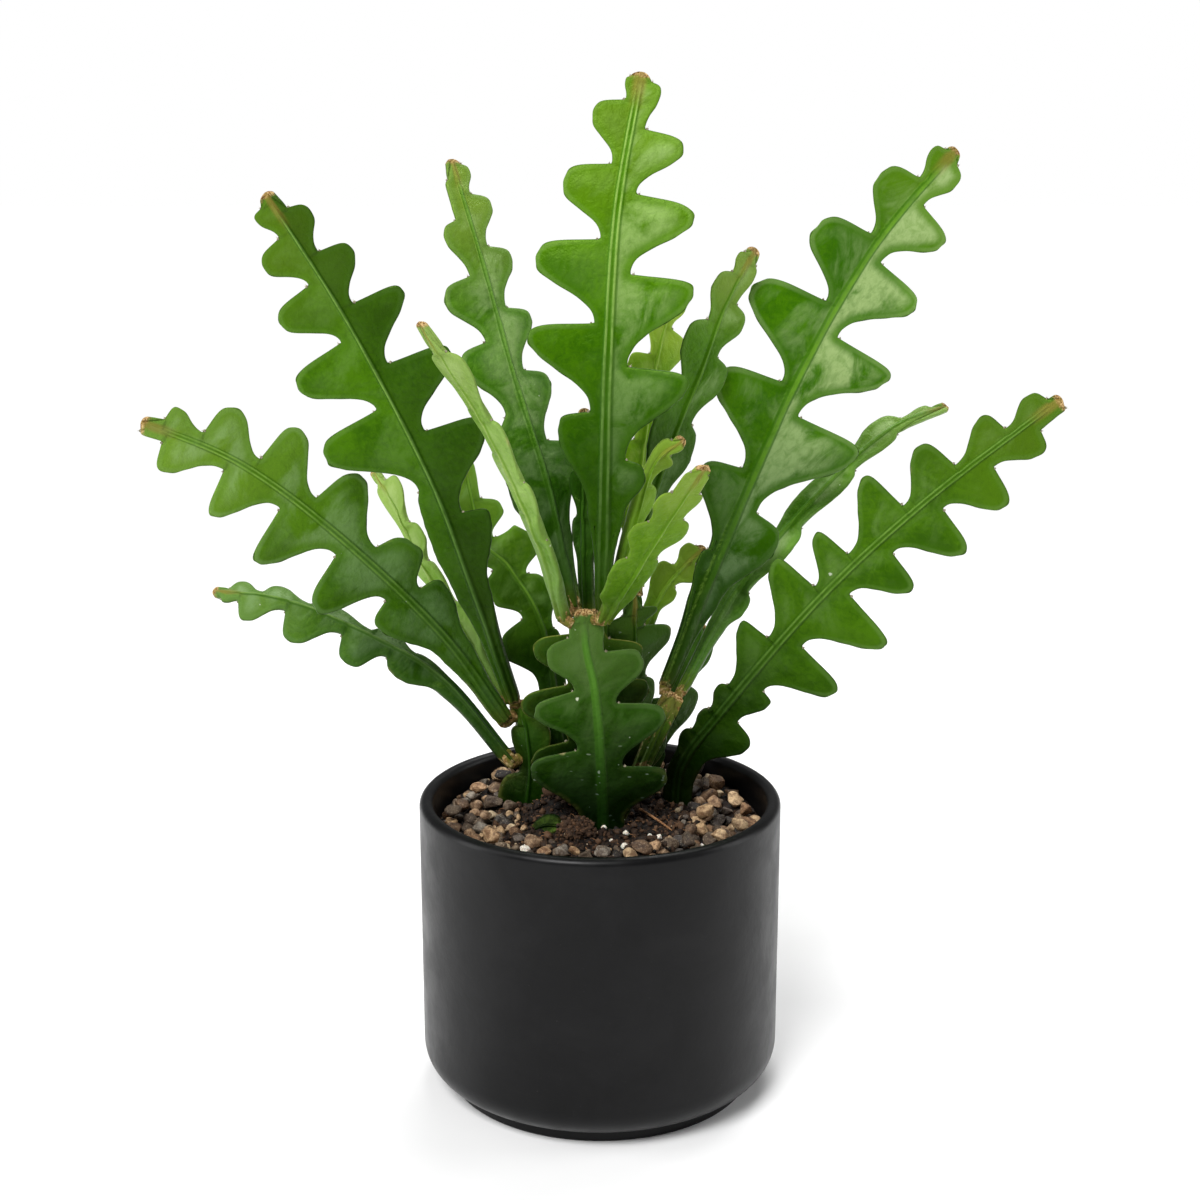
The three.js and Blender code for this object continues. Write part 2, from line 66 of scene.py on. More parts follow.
POT_HEIGHT = 108
POT_RADIUS = 65
POT_WALL = 5
POT_FLOOR = 8
FOOT_RADIUS = 55.5
FOOT_HEIGHT = 4.5
FOOT_EDGE = 1
BELLY_RADIUS = 12
BELLY_SWEEP = 1.25
INNER_CORNER = 4
GAP = 0.3

SOIL_TOP = 97.5
SOIL_RING = 94
SOIL_SLOPE = (32, 42)
SOIL_BACK = (0, 40)
BACK_RISE = 5
MOUND_PLACE = (-17, 4)
MOUND_RADIUS = 14
MOUND_RISE = 9

# ---- Stems, as in the CAD model ----

RIB_THICK = 4.4
ROOT_LENGTH = 9
LEAN = 5
NOTCH_NARROWING = 0.45
NOTCH_LIMIT = (0.6, 0.5)
END_ROOM = 0.6
RISE_LEAVE, RISE_DIP, RISE_ARRIVE = 0.48, 0.04, 0.4
FALL_LEAVE, FALL_BULGE, FALL_ARRIVE, FALL_DROP = 0.8, 0.06, 0.2, 0.58
STALK_BEND = (0.6, 0.25)

# A row per stem. The midrib runs through the points of spine. face turns the blade's front to
# the side and up, and fold brings its two halves forward, in degrees. left and right are its
# lobes: how far along the midrib, how far out, and how far on the next notch is, if not LEAN.
# stalk is where they begin, neck, notch and tip half widths at the root, in the left and the
# right notches and at the end, and end_thick the end's thickness. look picks the colours.
# dusk is painted shade: how much of its colour a stem keeps near its root, and over
# which shares of its length it reaches its full colour. halves is painted light
# and shade: how much lighter or darker its left and its right half are painted.
USUAL_STEM = dict(
    rooted=False, face=(0, 0), fold=0, notch=(6, 6), tip=2, end_thick=2, dusk=None, halves=(1, 1),
)
STEMS = [
    dict(
        name="stem_centre_tall", look="centre", dusk=(0.3, 0.15, 0.78), halves=(0.92, 0.95),
        spine=[[1, 1, 176.5], [2, -3, 227], [3, -3, 265], [6, 1, 314], [14, 12, 360]],
        face=[-10, 8], fold=5, stalk=34, neck=2.8, notch=[6, 7],
        left=[[65, 17, 6], [95, 28, 6], [121, 27, 8], [145, 20, 9], [169, 14, 7], [182, 5, 2]],
        right=[[49, 14, 6], [83, 28, 4], [113, 28], [138, 26, 7], [161, 19, 6], [179, 8, 4]],
    ),
    dict(
        name="stem_front_old", look="old", rooted=True, dusk=(0.12, 0.04, 0.74),
        spine=[[1, -6, 96], [0, -9, 124], [-2, -11, 150], [-5, -12, 166], [-5.8, -12, 180]],
        face=[8, 0], fold=4, stalk=4, neck=8, notch=[8, 8], tip=3, end_thick=3.6,
        left=[[27, 25, 6], [49, 22, 7], [69, 14, 6], [77.5, 5.4, 3]],
        right=[[18, 24, 7], [42, 24, 7], [61, 19, 7], [77, 7, 3]],
    ),
    dict(
        name="stem_behind_front", look="worn", rooted=True, dusk=(0.3, 0.1, 1), halves=(0.8, 0.8),
        spine=[[-3, 9, 97], [-3, 8, 129], [-4, 6, 156], [-3, 3, 176]],
        face=[10, 0], stalk=5, neck=8, notch=[9, 9], tip=6, end_thick=3.6,
        left=[[21, 22, 8], [44, 25, 7], [63, 20, 7]],
        right=[[22, 21, 7], [46, 22, 5], [60, 20, 8]],
    ),
    dict(
        name="stem_left_old", look="worn", rooted=True,
        spine=[[-27, 14, 93.5], [-25, 14, 112], [-26, 14, 127], [-29.5, 14, 139]],
        face=[-28, 0], stalk=1, neck=5.5, notch=[5.5, 6.5], tip=4, end_thick=4,
        left=[[5, 13, 12], [31, 8, 6]],
        right=[[14, 13, 8], [33, 9, 5]],
    ),
    dict(
        name="stem_back_left", look="shade", rooted=True,
        dusk=(0.22, 0.42, 0.62), halves=(1.7, 1.7),
        spine=[[-12, 20, 95], [-20, 24, 158.5], [-33, 32, 183.5], [-44, 38, 195], [-52, 50, 226]],
        face=[22, 0], fold=6, stalk=49, neck=5, notch=[6, 5],
        left=[[64, 17, 11], [86, 12, 12], [110, 10, 6], [128, 8]],
        right=[[64, 6, 4], [80, 9, 9], [96, 14, 12], [119, 11, 6], [135, 4]],
    ),
    dict(
        name="stem_back_right", look="shade", rooted=True, dusk=(0.3, 0.1, 0.8), halves=(0.5, 0.5),
        spine=[[9, 20, 95], [12, 20, 130], [12, 18, 157], [12, 16, 179.6]],
        face=[28, 0], stalk=6, neck=5.5, notch=[6.5, 5.5], end_thick=3.6,
        left=[[29, 11], [51, 14, 8], [70, 11, 6]],
        right=[[24, 16, 8], [45, 9, 6], [66, 16, 5], [76, 10, 2]],
    ),
    dict(
        name="stem_right_old", look="bark", rooted=True,
        spine=[[6, 1, 96], [14.8, 3, 117], [21, 5, 131], [26.8, 7, 144]],
        stalk=44, neck=2.4, notch=[4, 4], tip=4, end_thick=4.4, left=[], right=[],
    ),
    dict(
        name="stem_right_dark", look="dark", rooted=True,
        spine=[
            [12, 34, 94], [19.5, 37, 110], [27.5, 40, 126], [31.5, 42, 137], [36.5, 44, 149],
            [38, 45, 160],
        ],
        face=[28, 0], stalk=5, neck=5.5, notch=[5.5, 3.5],
        left=[[35, 12, 6], [59, 9, 6]],
        right=[[16, 6, 6], [42, 9, 6], [61, 7, 6]],
    ),
    dict(
        name="stem_right_far", look="far", rooted=True,
        dusk=(0.05, 0.05, 0.55), halves=(0.76, 0.72),
        spine=[
            [28, 17, 96], [30.5, 16, 114], [44, 10, 136], [77, -4, 182], [111, -18, 220],
            [150, -36, 257],
        ],
        face=[-16, 0], fold=7, stalk=21, neck=5.5, notch=[4.4, 7],
        left=[
            [28, 6.5, 4], [39, 6, 4], [51, 7, 4], [78, 15, 1], [103, 21, 2], [119, 17, 3],
            [146, 20, 2], [165, 16, 6], [188, 11, 4], [204, 7.5],
        ],
        right=[
            [41, 16, 5], [59, 12, 3], [80, 27, 5], [107, 28, 5], [130, 20, 4],
            [153, 22], [175, 18, 6], [196, 11], [210, 4, 2],
        ],
    ),
    dict(
        name="stem_small_dark", look="dark",
        spine=[[-4.3, 9.4, 168], [-5.4, 12.2, 199], [-5.5, 13.3, 222], [-5.5, 14.2, 246]],
        face=[-25, 0], stalk=22, neck=3, notch=[3, 3],
        left=[[34, 5, 6], [51, 6, 6], [68, 5, 5]],
        right=[[34, 7, 6], [47, 8, 8], [68, 5, 5]],
    ),
    dict(
        name="stem_buried_end", look="sliver", rooted=True,
        spine=[[-24, -5, 94], [-20, -8, 98], [-15, -10, 98.5], [-10, -12, 95]],
        face=[0, 40], stalk=2, neck=3, notch=[3, 3],
        left=[[8, 5, 4]],
        right=[[8, 4, 4]],
    ),
    dict(
        name="shoot_left_far", look="side", dusk=(0.32, 0.12, 0.95), halves=(1.15, 1.05),
        spine=[[-34.4, 13, 131.5], [-57, 8, 166], [-91, -3, 204], [-121, -18, 232], [-150, -34, 249]],
        face=[15, 5], fold=8, stalk=31, neck=3.5,
        left=[[60, 15], [81, 25, 9], [112, 25], [138, 20, 4], [163, 13, 3], [172, 4, 2]],
        right=[[54, 13], [69, 16, 12], [102, 21, 7], [128, 21], [147, 16, 7], [165, 9, 3]],
    ),
    dict(
        name="shoot_left_low", look="grey", dusk=(0.32, 0.1, 0.8), halves=(0.82, 0.86),
        spine=[[-32.3, 14, 115], [-58, 20, 145], [-88, 28, 161], [-118, 36, 171], [-145, 44, 172.5]],
        face=[0, 45], fold=-18, stalk=37, neck=2.9, notch=[4.5, 3],
        left=[[52, 9, 10], [72, 13, 9], [97, 14, 8], [120, 10], [130, 4, 2]],
        right=[[48, 4], [64, 7, 8], [87, 6, 10], [111, 7], [126, 7, 4]],
    ),
    dict(
        name="shoot_left_tall", look="deep", dusk=(0.4, 0.2, 0.66), halves=(0.9, 0.48),
        spine=[[-31.4, 12, 139.5], [-44, -2, 184], [-58, -9, 226], [-83, -17, 279], [-108, -24, 322]],
        face=[-14, 5], fold=6, stalk=46, neck=3, notch=[7, 6],
        left=[[68, 9, 22], [113, 31, 9], [139, 27, 9], [162, 21, 8], [181, 15, 7], [196, 8, 3]],
        right=[[76, 15, 2], [105, 26, 4], [131, 27, 4], [155, 22, 3], [173, 15, 5], [190, 10]],
    ),
    dict(
        name="shoot_left_thin", look="pale",
        spine=[[-35.2, 17, 138.5], [-50, 30, 162], [-65, 43, 182], [-77, 55, 203], [-86, 64, 215]],
        face=[-45, 10], stalk=14, neck=2.8, notch=[3, 3],
        left=[[40, 4, 7], [62, 6, 9], [91, 5, 6]],
        right=[[28, 6, 13], [52, 5, 8], [68, 7, 9], [91, 8]],
    ),
    dict(
        name="shoot_upper_left", look="misty", dusk=(0.4, 0.1, 0.6), halves=(0.92, 0.94),
        spine=[[-9.5, 4, 176.5], [-19, 11, 219], [-31, 24, 256], [-42, 40, 293], [-54, 58, 330]],
        face=[30, 15], fold=-8, stalk=24, neck=3.5, notch=[7, 6],
        left=[[42, 14, 30], [91, 17, 8], [115, 17, 9], [139, 11, 7], [157, 5]],
        right=[[54, 15, 6], [82, 16, 5], [107, 15, 4], [131, 14, 4], [152, 12, 4], [165, 7, 3]],
    ),
    dict(
        name="shoot_young_left", look="pale", dusk=(0.6, 0, 0.45), halves=(0.94, 0.96),
        spine=[[-12.6, -10.8, 176.4], [-20, -21, 206], [-36, -34, 246], [-57, -48, 283]],
        face=[-50, 0], stalk=18, neck=2.8, notch=[5, 5],
        left=[[41, 6, 4], [64, 7, 4], [83, 6, 4], [105, 7, 4]],
        right=[[30, 5, 4], [53, 7, 4], [78, 8, 4], [105, 10]],
    ),
    dict(
        name="shoot_back_light", look="young", dusk=(0.8, 0, 0.3), halves=(1.7, 1.7),
        spine=[[13, 19.5, 180], [13, 26, 211], [16, 35, 235], [20, 44, 258], [27, 55, 283]],
        face=[30, 10], stalk=12, neck=3.2, notch=[3.5, 4.5],
        left=[[24, 6], [48, 9], [80, 11], [98, 8]],
        right=[[35, 9], [66, 10], [92, 11], [106, 7, 3]],
    ),
    dict(
        name="shoot_right_inner", look="inner", dusk=(0.35, 0.25, 0.95),
        spine=[[9.5, 14, 180.8], [21, 13, 224], [35, 16, 260], [43, 19, 281], [54, 22, 301]],
        face=[40, 5], fold=8, stalk=34, neck=4, notch=[6, 6],
        left=[[61, 12, 10], [91, 13, 9], [111, 10, 7], [123, 6, 3]],
        right=[[51, 11, 13], [81, 12, 8], [102, 11, 7], [119, 6]],
    ),
    dict(
        name="shoot_right_tall", look="waxy_sheen", dusk=(0.16, 0.08, 0.62), halves=(0.9, 1),
        spine=[[23.4, 7, 146.4], [50, 29, 207], [73, 33, 259], [98, 39, 301], [127, 48, 334]],
        face=[16, 8], fold=7, stalk=33, neck=2.7, notch=[5, 7],
        left=[
            [46, 7, 6], [78, 20, 6], [111, 28, 7], [140, 31, 10], [166, 23, 12],
            [193, 15, 11], [214, 7, 4],
        ],
        right=[[63, 19, 8], [104, 34], [137, 31, 4], [166, 26, 6], [192, 20, 6], [211, 9, 6]],
    ),
    dict(
        name="shoot_right_edge", look="silver", dusk=(0.45, 0.05, 0.6), halves=(1.1, 1.15),
        spine=[[29.2, 8.6, 143.8], [51, 36, 175], [84, 55, 209], [110, 69, 229], [134, 84, 236]],
        face=[25, 58], stalk=30, neck=2.3, notch=[3, 4],
        left=[[54, 5, 14], [89, 6, 20], [132, 7, 9], [153, 4, 3]],
        right=[[40, 7, 8], [69, 7, 12], [102, 6, 10], [127, 5, 8]],
    ),
    dict(
        name="shoot_young_front", look="young",
        spine=[[0.9, -13.9, 176.4], [11, -23, 195], [21, -33, 214], [34, -48, 237]],
        face=[30, 0], fold=6, stalk=12, neck=2.8, notch=[8, 6],
        left=[[26, 10], [43, 12, 6], [59, 10], [71, 6, 3]],
        right=[[26, 7, 6], [44, 10, 7], [61, 7, 3], [71, 4, 2]],
    ),
    dict(
        name="shoot_young_back", look="young",
        spine=[[7.2, 3.6, 189], [12, 3, 209], [18, 1, 228], [29, -2, 238]],
        face=[40, 20], stalk=14, neck=3, notch=[3, 3],
        left=[[34, 3], [49, 4, 3]],
        right=[[27, 7, 7], [44, 6, 4], [52, 3, 2]],
    ),
    dict(
        name="shoot_young_low", look="young",
        spine=[[14, 23.2, 158], [21, 32, 171], [28, 37, 180], [39, 41, 190]],
        face=[10, 20], stalk=14, neck=3, notch=[4, 2.5],
        left=[[28, 8, 4], [39, 6, 4]],
        right=[[22, 5, 4], [34, 7, 4]],
    ),
]


# ---- Meshes ----


def mesh_object(name, points, faces, material, **attributes):
    """An object from points in millimetres. An attribute holds three numbers a point."""
    mesh = bpy.data.meshes.new(name)
    mesh.from_pydata((np.asarray(points) * MM).tolist(), [], faces)
    mesh.shade_smooth()
    for key, values in attributes.items():
        layer = mesh.attributes.new(key, "FLOAT_VECTOR", "POINT")
        layer.data.foreach_set("vector", np.asarray(values, np.float32).ravel())
    mesh.materials.append(material)
    thing = bpy.data.objects.new(name, mesh)
    bpy.context.scene.collection.objects.link(thing)
    return thing


def piece(name, points, faces, material, slot, *nodes, **attributes):
    """A mesh that rides on the one body and stands for the nodes. Its slot is not used."""
    thing = mesh_object(name, points, faces, material, **attributes)
    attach(thing, "root")
    if nodes:
        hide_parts(*nodes)


class Heap:
    """Many small lumps that become one piece, with a shade vector each."""

    def __init__(self):
        self.points, self.faces, self.shades = [], [], []
        self.count = 0

    def add(self, points, faces, shade=(0, 0, 0)):
        self.faces += (np.asarray(faces) + self.count).tolist()
        self.points.append(points)
        self.shades.append(np.tile(shade, (len(points), 1)))
        self.count += len(points)

    def to_piece(self, name, material, slot, *nodes):
        points, shades = np.vstack(self.points), np.vstack(self.shades)
        piece(name, points, self.faces, material, slot, *nodes, shade=shades)


def icosphere(divisions):
    """Unit sphere of even triangles, as points and faces."""
    ball = bmesh.new()
    bmesh.ops.create_icosphere(ball, subdivisions=divisions, radius=1)
    points = np.array([v.co[:] for v in ball.verts])
    faces = np.array([[v.index for v in f.verts] for f in ball.faces])
    ball.free()
    return points, faces


def around(sides):
    """The angles of a closed ring's points."""
    return np.linspace(0, math.tau, sides, endpoint=False)


def circle(radius, height, sides):
    """A level ring of points around the pot's axis."""
    return [(radius * math.cos(t), radius * math.sin(t), height) for t in around(sides)]


def loop(across, other, sides):
    """A ring of points in the plane of two vectors."""
    return np.outer(np.cos(around(sides)), across) + np.outer(np.sin(around(sides)), other)


def bands(rings, sides, first=0):
    """Faces that join rings of points, each to the next. first is their first point's number."""
    faces = []
    for base in range(first, first + (rings - 1) * sides, sides):
        for i in range(sides):
            j = (i + 1) % sides
            faces.append((base + i, base + j, base + sides + j, base + sides + i))
    return faces


def lids(rings, sides):
    """One flat face each that closes the first and the last ring."""
    last = (rings - 1) * sides
    return [tuple(range(sides))[::-1], tuple(range(last, last + sides))]


def fan(middle, ring, sides):
    """Triangles from a middle point to a ring, given by its first point's number."""
    return [(middle, ring + i, ring + (i + 1) % sides) for i in range(sides)]


def turned_over(faces):
    """The same faces, seen from the other side."""
    return [f[:1] + f[:0:-1] for f in faces]


def roughness_of(points, size, seed):
    """Smooth noise from -1 to 1 at each point, with bumps about as large as size."""
    shift = Vector((seed * 17.13, seed * 5.71, seed * 9.37))
    return np.array([noise.noise(Vector(p) / size + shift) for p in points])


def bumps(points, *layers):
    """Noise at each point, added up from layers of (depth, size of the bumps, seed)."""
    return sum(depth * roughness_of(points, size, seed) for depth, size, seed in layers)


def lumpy(points, rng, *layers):
    """Factors that roughen a ball's points, from layers of (depth, size of the bumps)."""
    seeded = [(depth, size, rng.uniform(0, 90)) for depth, size in layers]
    return 1 + bumps(points, *seeded)[:, None]


def smoothstep(value, low, high):
    share = np.clip((np.asarray(value, float) - low) / (high - low), 0, 1)
    return share * share * (3 - 2 * share)


def unit(vectors):
    return vectors / np.linalg.norm(vectors, axis=-1, keepdims=True)


def tree_of(points):
    tree = kdtree.KDTree(len(points))
    for i, point in enumerate(points):
        tree.insert(point, i)
    tree.balance()
    return tree


# ---- Materials ----


def srgb(red, green, blue):
    """A colour given as 0 to 255 on a screen, as Blender's linear colour."""
    shares = [c / 255 for c in (red, green, blue)]
    linear = [s / 12.92 if s <= 0.04045 else ((s + 0.055) / 1.055) ** 2.4 for s in shares]
    return (*linear, 1)


class Shader:
    """A material with a Principled BSDF, and short ways to add nodes to it."""

    def __init__(self, name, **settings):
        self.material = bpy.data.materials.new(name)
        self.material.use_nodes = True
        self.tree = self.material.node_tree
        self.surface = self.tree.nodes["Principled BSDF"]
        for key, value in settings.items():
            self.surface.inputs[key.replace("_", " ")].default_value = value
        self.place = self.tree.nodes.new("ShaderNodeTexCoord").outputs["Object"]

    def node(self, kind, settings=None, **inputs):
        made = self.tree.nodes.new("ShaderNode" + kind)
        for key, value in (settings or {}).items():
            setattr(made, key, value)
        for key, value in inputs.items():
            self.feed(made.inputs[key], value)
        return made

    def feed(self, socket, value):
        if isinstance(value, bpy.types.NodeSocket):
            self.tree.links.new(value, socket)
        else:
            socket.default_value = value

    def math(self, operation, *values):
        made = self.node("Math", {"operation": operation})
        for socket, value in zip(made.inputs, values):
            self.feed(socket, value)
        return made.outputs[0]

    def plus(self, first, second):
        return self.math("ADD", first, second)

    def away(self, value):
        return self.math("ABSOLUTE", value)

    def times(self, *values):
        product = values[0]
        for value in values[1:]:
            product = self.math("MULTIPLY", product, value)
        return product

    def step(self, value, low, high, ends=(0, 1)):
        """Goes smoothly from the first end to the second while value goes from low to high."""
        made = self.node("MapRange", {"interpolation_type": "SMOOTHSTEP"}, Value=value)
        pairs = {"From Min": low, "From Max": high, "To Min": ends[0], "To Max": ends[1]}
        for key, item in pairs.items():
            self.feed(made.inputs[key], item)
        return made.outputs[0]

    def band(self, value, middle, half, soft):
        """1 within half of middle, and 0 from soft beyond that on."""
        off = self.away(self.math("SUBTRACT", value, middle))
        return self.step(off, half, half + soft, (1, 0))

    def mix(self, share, first, second, blend="MIX"):
        made = self.node("Mix", {"data_type": "RGBA", "blend_type": blend}, Factor=share)
        self.feed(made.inputs[6], first)
        self.feed(made.inputs[7], second)
        return made.outputs[2]

    def paint(self, color, *shares):
        """Covers the colour made so far with another, as strongly as the shares' product."""
        self.color = self.mix(self.times(*shares), self.color, color)

    def noise(self, size, detail=2, rough=0.5, warp=0, place=None):
        """Noise from 0 to 1 with features about as large as size in millimetres."""
        made = self.node("TexNoise", Scale=1 / (size * MM), Detail=detail, Roughness=rough)
        made.inputs["Distortion"].default_value = warp
        self.feed(made.inputs["Vector"], place or self.place)
        return made.outputs["Fac"]

    def cells(self, size, place=None):
        """Points about size apart: the distance from the nearest, and its random colour."""
        made = self.node("TexVoronoi", Scale=1 / (size * MM), Vector=place or self.place)
        return made.outputs["Distance"], made.outputs["Color"]

    def share_of(self, color, channel):
        return self.node("SeparateColor", Color=color).outputs[channel]

    def stretched(self, turn, scale):
        """The place turned by degrees, with patterns drawn out by the scale of each axis."""
        radians = [math.radians(t) for t in turn]
        turned = {"vector_type": "TEXTURE"}
        made = self.node("Mapping", turned, Vector=self.place, Rotation=radians, Scale=scale)
        return made.outputs[0]

    def attribute(self, name):
        return self.node("Attribute", {"attribute_name": name}).outputs["Vector"]

    def vector(self, name):
        """The three numbers of a mesh attribute."""
        return self.node("SeparateXYZ", Vector=self.attribute(name)).outputs

    def relief(self, *layers):
        """Bump from layers of (height, depth in millimetres)."""
        normal = self.surface.inputs["Normal"]
        for height, depth in reversed(layers):
            made = self.node("Bump", Height=height, Distance=depth * MM, Strength=1.0)
            self.feed(normal, made.outputs["Normal"])
            normal = made.inputs["Normal"]

    def finish(self, roughness):
        self.feed(self.surface.inputs["Base Color"], self.color)
        self.feed(self.surface.inputs["Roughness"], roughness)
        return self.material


# How each kind of stem looks: slot is its record material, deep and bright are the blade's two
# greens, tip the green that it fades to over the last tip_run millimetres, margin the green
# near the edge, wax the pale colour of the waxen coat and of painted sheen, which also
# makes the painted highlight along the edge, waxed how much of it there is on the
# left and the right half and wax_out how far out from the midrib it fades, rib the
# colour of the midrib, ribbed how strongly it shows and grooved how strong its dark grooves are,
# ridge the colour of its raised lines, line the thin outline, aged how much cork and how many
# pale specks it carries, tanned how brown its midrib gets near the tip, and scarred whether old
# skin peels from it.
# channel says whether the midrib has two raised lines or one, and rib_width scales its width.
USUAL_LOOK = dict(
    slot="stem_green", wax_out=(13, 27), ribbed=0.6, grooved=0.5, channel=False, rib_width=0.6,
    aged=0, tanned=0.6, scarred=False,
)
LOOK_COLORS = ("deep", "bright", "tip", "margin", "wax", "rib", "ridge", "line")


def look(**values):
    """A look from its own values over the usual ones, with its colours made linear."""
    colors = {key: srgb(*values[key]) for key in LOOK_COLORS}
    return SimpleNamespace(**{**USUAL_LOOK, **values, **colors})


LOOKS = {
    "centre": look(
        deep=(50, 100, 0), bright=(74, 124, 0), tip=(84, 116, 16), tip_run=90, margin=(80, 130, 2),
        wax=(126, 156, 82), waxed=(0.15, 1.0), rib=(70, 120, 10), ribbed=0.75, ridge=(140, 172, 84),
        line=(44, 68, 14), channel=True, rib_width=1.2,
    ),
    "deep": look(
        deep=(40, 82, 0), bright=(64, 108, 4), tip=(78, 108, 18), tip_run=70, margin=(66, 112, 8),
        wax=(104, 138, 66), waxed=(0.3, 0.12), rib=(60, 100, 18), ridge=(116, 150, 70),
        line=(34, 56, 18), rib_width=0.72,
    ),
    "side": look(
        deep=(48, 88, 4), bright=(72, 114, 12), tip=(98, 132, 40), tip_run=90, margin=(70, 116, 12),
        wax=(122, 152, 92), waxed=(0.7, 0.7), wax_out=(5, 17), rib=(66, 108, 18),
        ridge=(114, 150, 62), line=(44, 64, 24), aged=0.25, channel=True, rib_width=0.9,
    ),
    "far": look(
        deep=(44, 84, 2), bright=(70, 112, 8), tip=(80, 110, 18), tip_run=70, margin=(66, 112, 8),
        wax=(116, 146, 76), waxed=(0.4, 0.3), wax_out=(5, 17), rib=(66, 108, 18),
        ridge=(114, 150, 62), line=(44, 64, 24), aged=0.25, channel=True, rib_width=0.9,
    ),
    "misty": look(
        deep=(42, 88, 4), bright=(70, 116, 20), tip=(112, 138, 46), tip_run=70, margin=(58, 108, 6),
        wax=(142, 166, 106), waxed=(0.45, 0.62), wax_out=(4, 13), rib=(58, 104, 14),
        ridge=(100, 140, 58), line=(56, 76, 36), aged=0.15, rib_width=0.7,
    ),
    "grey": look(
        deep=(38, 82, 4), bright=(62, 106, 14), tip=(96, 126, 54), tip_run=60, margin=(60, 106, 12),
        wax=(122, 150, 98), waxed=(0.6, 1.0), rib=(66, 106, 24), ridge=(120, 150, 78),
        line=(50, 66, 32), aged=0.25,
    ),
    "waxy_sheen": look(
        deep=(44, 94, 0), bright=(66, 116, 2), tip=(84, 122, 20), tip_run=60, margin=(66, 116, 4),
        wax=(146, 170, 108), waxed=(0.4, 1.0), wax_out=(16, 32), rib=(62, 110, 14), ribbed=0.7,
        ridge=(98, 144, 38), line=(42, 64, 20), rib_width=1.15,
    ),
    "silver": look(
        deep=(54, 102, 10), bright=(82, 128, 30), tip=(104, 136, 44), tip_run=60,
        margin=(66, 116, 12), wax=(148, 174, 116), waxed=(0.65, 0.8), rib=(58, 104, 14),
        ridge=(88, 132, 40), line=(56, 76, 36), aged=0.15, rib_width=0.7,
    ),
    "inner": look(
        deep=(50, 96, 2), bright=(72, 120, 12), tip=(116, 138, 56), tip_run=40,
        margin=(70, 118, 10), wax=(126, 156, 88), waxed=(0.15, 0.9), rib=(66, 110, 16),
        ridge=(108, 146, 56), line=(44, 64, 24), aged=0.25, rib_width=0.7,
    ),
    "pale": look(
        slot="stem_young", deep=(92, 132, 34), bright=(126, 158, 74), tip=(136, 160, 78),
        tip_run=50, margin=(100, 142, 40), wax=(154, 176, 112), waxed=(0.5, 0.5),
        rib=(112, 144, 56), ridge=(144, 168, 92), line=(96, 112, 56), aged=0.4, rib_width=0.5,
    ),
    "young": look(
        slot="stem_young", deep=(72, 116, 8), bright=(98, 140, 24), tip=(126, 154, 52), tip_run=40,
        margin=(94, 136, 20), wax=(138, 164, 82), waxed=(0.35, 0.45), rib=(98, 138, 36),
        ridge=(128, 160, 68), line=(96, 112, 50), aged=0.15, rib_width=0.5,
    ),
    "shade": look(
        slot="stem_dark", deep=(36, 70, 4), bright=(60, 98, 14), tip=(82, 116, 36), tip_run=50,
        margin=(50, 90, 10), wax=(96, 130, 68), waxed=(0.5, 0.5), rib=(54, 92, 16),
        ridge=(82, 118, 38), line=(44, 60, 28), aged=0.3,
    ),
    "dark": look(
        slot="stem_dark", deep=(12, 40, 1), bright=(30, 66, 6), tip=(44, 82, 14), tip_run=30,
        margin=(28, 66, 6), wax=(58, 90, 38), waxed=(0.35, 0.35), rib=(34, 70, 10),
        ridge=(50, 88, 22), line=(54, 68, 36), aged=0.5, tanned=0,
    ),
    "sliver": look(
        slot="stem_dark", deep=(7, 24, 2), bright=(20, 42, 8), tip=(24, 44, 10), tip_run=10,
        margin=(22, 40, 8), wax=(56, 76, 40), waxed=(0.3, 0.3), rib=(26, 50, 10), ribbed=0,
        ridge=(26, 50, 10), line=(40, 60, 24), rib_width=0.4, tanned=0,
    ),
    "worn": look(
        slot="stem_dark", deep=(12, 40, 1), bright=(32, 66, 6), tip=(44, 82, 14), tip_run=30,
        margin=(84, 98, 22), wax=(58, 90, 38), waxed=(0.35, 0.35), rib=(34, 70, 10),
        ridge=(50, 88, 22), line=(136, 128, 56), aged=0.7, tanned=0,
    ),
    "old": look(
        slot="stem_dark", deep=(11, 42, 0), bright=(31, 68, 7), tip=(66, 94, 38), tip_run=40,
        margin=(38, 76, 12), wax=(76, 102, 54), waxed=(0.6, 0.5), rib=(60, 104, 28), ribbed=0.85,
        ridge=(72, 116, 40), line=(74, 92, 50), aged=1.0, rib_width=1.1, grooved=0.12, tanned=0,
    ),
    "bark": look(
        slot="stem_bark", deep=(24, 50, 4), bright=(50, 82, 12), tip=(120, 112, 52), tip_run=12,
        margin=(52, 80, 14), wax=(96, 104, 48), waxed=(0.5, 0.5), rib=(46, 78, 12), ribbed=0.3,
        ridge=(70, 92, 26), line=(96, 88, 50), aged=1.0, rib_width=0.8, scarred=True, tanned=0,
    ),
}

SHEEN = (0.6, 1, 0.15, 1)  # tints the light that the skin reflects
CORK = srgb(146, 116, 70)
CORK_PALE = srgb(196, 172, 124)
CORK_DARK = srgb(84, 62, 32)
SPECK = srgb(200, 206, 180)
SPECKS = ((3.6, 0.1, 0.2), (8, 0.12, 0.2))  # how far apart, how large and how many
TAN = srgb(128, 108, 50)
FOOT_TAN = srgb(136, 124, 58)
JOINT_GREEN = srgb(104, 116, 34)
TUFT_DARK = srgb(112, 76, 44)
TUFT_PALE = srgb(190, 160, 112)


def corky(made):
    """The colours of dry skin: brown, with tan grain and paler scales."""
    grain = made.noise(0.7, 2, 0.6)
    cork = made.mix(made.step(grain, 0.35, 0.65), CORK_DARK, CORK)
    return made.mix(made.step(made.noise(1.8, 2), 0.5, 0.7), cork, CORK_PALE), grain


